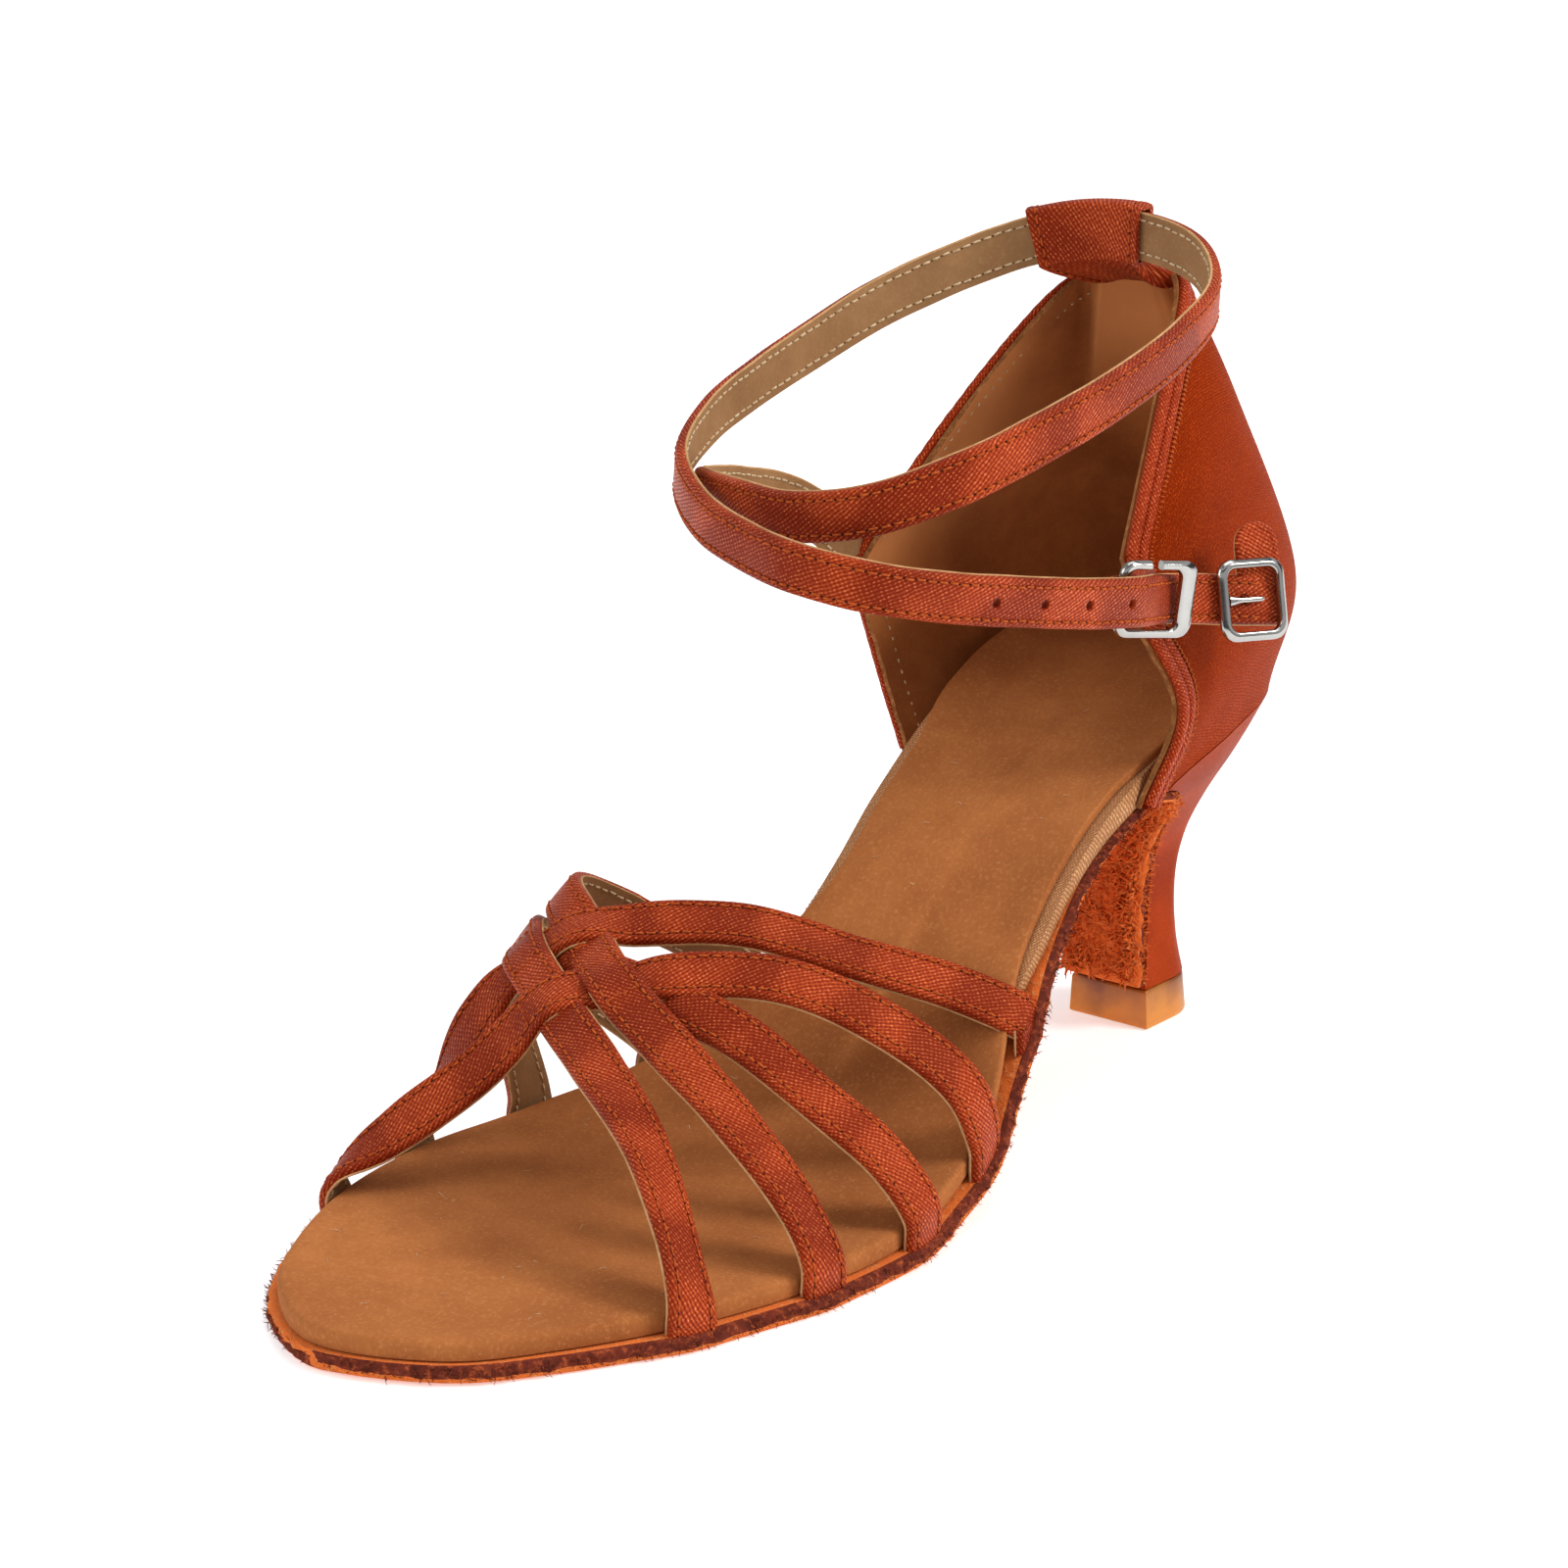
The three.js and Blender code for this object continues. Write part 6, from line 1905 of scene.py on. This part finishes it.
# %% [markdown]
# The ring and the buckle are cast from metal and polished. Both are bars bent into a rounded
# rectangle, so one function makes them: it walks round the outer and the inner outline together
# and lays a bevelled section between them. The ring has a mouth in its top side, where the strap
# slips in, and one wide bar.

# %% Ring and buckle
def corner_walk(length, height, radius, mouth=None):
    """Points round a rounded rectangle, clockwise from the middle of its top side."""
    x, y = length / 2, height / 2
    start, end = mouth if mouth else (0.0, 0.0)
    points = [(start + (x - radius - start) * t, y) for t in np.linspace(0, 1, 6)[:-1]]
    corners = [(x - radius, y - radius, 90), (x - radius, radius - y, 0),
               (radius - x, radius - y, -90), (radius - x, y - radius, -180)]
    sides = [((x, y - radius), (x, radius - y)), ((x - radius, -y), (radius - x, -y)),
             ((-x, radius - y), (-x, y - radius))]
    for index, (cx, cy, angle) in enumerate(corners):
        for turn in np.linspace(0, -90, 9)[:-1]:
            way = math.radians(angle + turn)
            points.append((cx + radius * math.cos(way), cy + radius * math.sin(way)))
        if index < 3:
            first, last = np.array(sides[index])
            points += [tuple(first + (last - first) * t) for t in np.linspace(0, 1, 10)[:-1]]
    points += [(radius - x + (end - radius + x) * t, y) for t in np.linspace(0, 1, 6)]
    return np.array(points if mouth else points[:-1])


def bent_bar(name, outer, inner, thickness, origin, axes, closed, bevel=0.3):
    """A bar of bevelled section between two outlines that run side by side."""
    along, up, out = axes
    t = thickness / 2
    section = [(0.0, -t * 0.35), (0.02, t * 0.2), (0.12, t * 0.55), (bevel + 0.16, t * 0.98),
               (bevel + 0.2, t), (0.8, t * 1.02), (0.86, t * 0.98), (0.95, t * 0.75),
               (0.99, t * 0.35), (1.0, -t * 0.35), (0.9, -t * 0.85), (0.7, -t), (0.3, -t),
               (0.1, -t * 0.85)]
    rings = []
    for o, i in zip(outer, inner):
        ring = []
        for share, level in section:
            flat = o + (i - o) * share
            ring.append(origin + along * flat[0] + up * flat[1] + out * level)
        rings.append(ring)
    return skin(name, rings, [polished_nickel], closed=closed, sharp=35)


RING_LENGTH, RING_HEIGHT, RING_BAR, RING_WIDE_BAR, RING_MOUTH = 15.5, 12.8, 1.5, 3.4, 2.2
RING_LEFT = ankle_spot((0.814, 0.6676, 0.6901))
RING_RIGHT = ankle_spot((0.914, 0.7288, 0.6702))
UPRIGHT = np.array([0.0, 0.0, 1.0])
ring_along = unit(RING_RIGHT - RING_LEFT)
ring_out = unit(np.cross(ring_along, UPRIGHT))
ring_up = unit(np.cross(ring_out, ring_along))
ring_middle = RING_LEFT + ring_along * (RING_LENGTH / 2 - RING_BAR / 2)
mouth_centre = -RING_LENGTH * 0.06
mouth = (mouth_centre + RING_MOUTH / 2, mouth_centre - RING_MOUTH / 2)
slot_shift = (RING_BAR - RING_WIDE_BAR) / 2
ring_outer = corner_walk(RING_LENGTH, RING_HEIGHT, 2.6, mouth)
ring_inner = corner_walk(RING_LENGTH - RING_BAR - RING_WIDE_BAR, RING_HEIGHT - 2 * RING_BAR, 1.4,
                         (mouth[0] - slot_shift, mouth[1] - slot_shift))
ring_inner[:, 0] += slot_shift
hook_ring = bent_bar("hook_ring", ring_outer, ring_inner, RING_BAR, ring_middle,
                     (ring_along, ring_up, ring_out), False, 0.26)
dress(hook_ring, "nickel", "hook_ring")

BUCKLE_LENGTH, BUCKLE_HEIGHT, BUCKLE_BAR, PRONG = 12.5, 13.5, 1.6, 1.1
buckle_at = nearest_on_ankle((0.945, 0.7856, 0.6481))
buckle_point, buckle_along = ANKLE_BAND.point[buckle_at], ANKLE_BAND.tangent[buckle_at]
buckle_out = ANKLE_BAND.normal[buckle_at] * np.sign(
    (ANKLE_BAND.normal[buckle_at] * away_from_ankle(buckle_point[None])[0]).sum())
BUCKLE_TILT = math.radians(5)
buckle_up = unit(np.cross(buckle_out, buckle_along))
buckle_along = buckle_along * math.cos(BUCKLE_TILT) + buckle_up * math.sin(BUCKLE_TILT)
buckle_up = unit(np.cross(buckle_out, buckle_along))
buckle_middle = buckle_point + buckle_out * (STRAP_THICKNESS / 2 + GAP + BUCKLE_BAR / 2)
buckle_frame = bent_bar(
    "buckle_frame", corner_walk(BUCKLE_LENGTH, BUCKLE_HEIGHT, 2.8),
    corner_walk(BUCKLE_LENGTH - 2 * BUCKLE_BAR, BUCKLE_HEIGHT - 2 * BUCKLE_BAR, 1.6),
    BUCKLE_BAR, buckle_middle, (buckle_along, buckle_up, buckle_out), True)
dress(buckle_frame, "nickel", "buckle_frame")

# %% [markdown]
# The prong is a strip of the same metal, rolled round the near bar and tapering to a blunt
# point that drops into the hole.

# %% Prong
prong_rings = []
prong_start = -(BUCKLE_LENGTH / 2 - BUCKLE_BAR - GAP)
prong_length = -1.55 * prong_start
for share in np.linspace(0, 1, 26):
    across = PRONG / 2 * (1.5 - 0.7 * float(smoothstep(share, 0.0, 0.35)))
    across *= math.sqrt(max(1 - max(share - 0.93, 0) / 0.0705, 0.02))
    height = PRONG / 2 * (1 - 0.25 * share)
    centre = (buckle_middle + buckle_along * (prong_start + prong_length * share)
              + buckle_out * (-BUCKLE_BAR / 2 + PRONG / 2 + GAP / 2 - 0.25 * share**3))
    turns = np.linspace(0, 2 * math.pi, 16, endpoint=False)
    round_way = np.sign(np.cos(turns)) * np.abs(np.cos(turns)) ** 0.6
    high_way = np.sign(np.sin(turns)) * np.abs(np.sin(turns)) ** 0.6
    prong_rings.append([centre + buckle_up * a * across + buckle_out * h * height
                        for a, h in zip(round_way, high_way)])
dress(skin("buckle_prong", prong_rings, [polished_nickel], sharp=50), "nickel", "buckle_prong")

# %% [markdown]
# A short tab of satin holds the ring. It is one strip that leaves the counter, turns round the
# ring's thin bar and comes back, so it is swept like a strap, only thinner and narrower.

# %% Hook tab
TAB_HEIGHT, TAB_WALL = 6.2, 0.8
TAB_ROOT = ankle_spot((0.724, 0.7252, 0.6756))
tab_ahead = unit(TAB_ROOT - RING_LEFT)
tab_outward = unit(np.cross(tab_ahead, UPRIGHT))
tab_high = unit(np.cross(tab_outward, tab_ahead))
tab_radius = RING_BAR * 0.71 + GAP + TAB_WALL / 2
tab_length = np.linalg.norm(TAB_ROOT - RING_LEFT)
tab_centre = RING_LEFT + ring_up * 0.5
tab_path = [tab_centre + tab_ahead * (tab_length * t) + tab_outward * TAB_WALL * 0.5
            for t in (1.0, 0.8, 0.6, 0.42)]
tab_path += [tab_centre + tab_ahead * math.cos(a) * tab_radius
             + tab_outward * math.sin(a) * tab_radius
             for a in np.radians(np.arange(50, 311, 26))]
tab_path += [tab_centre + tab_ahead * (tab_length * t) - tab_outward * TAB_WALL * 0.5
             for t in (0.42, 0.6, 0.8, 1.0)]


def away_from_bar(points, shares):
    way = points - tab_centre
    way = way - (way * tab_high).sum(axis=1, keepdims=True) * tab_high
    along = (way * tab_ahead).sum(axis=1, keepdims=True)
    return unit(way - np.maximum(along, 0) * tab_ahead)


tab_band = Band(Smooth(tab_path, even=True), away_from_bar, spacing=0.3)
hook_tab = sweep("hook_tab", tab_band, [strap_satin, strap_satin, strap_satin],
                 TAB_HEIGHT / 2, TAB_WALL, 90.0)
dress(hook_tab, "satin", "hook_tab")
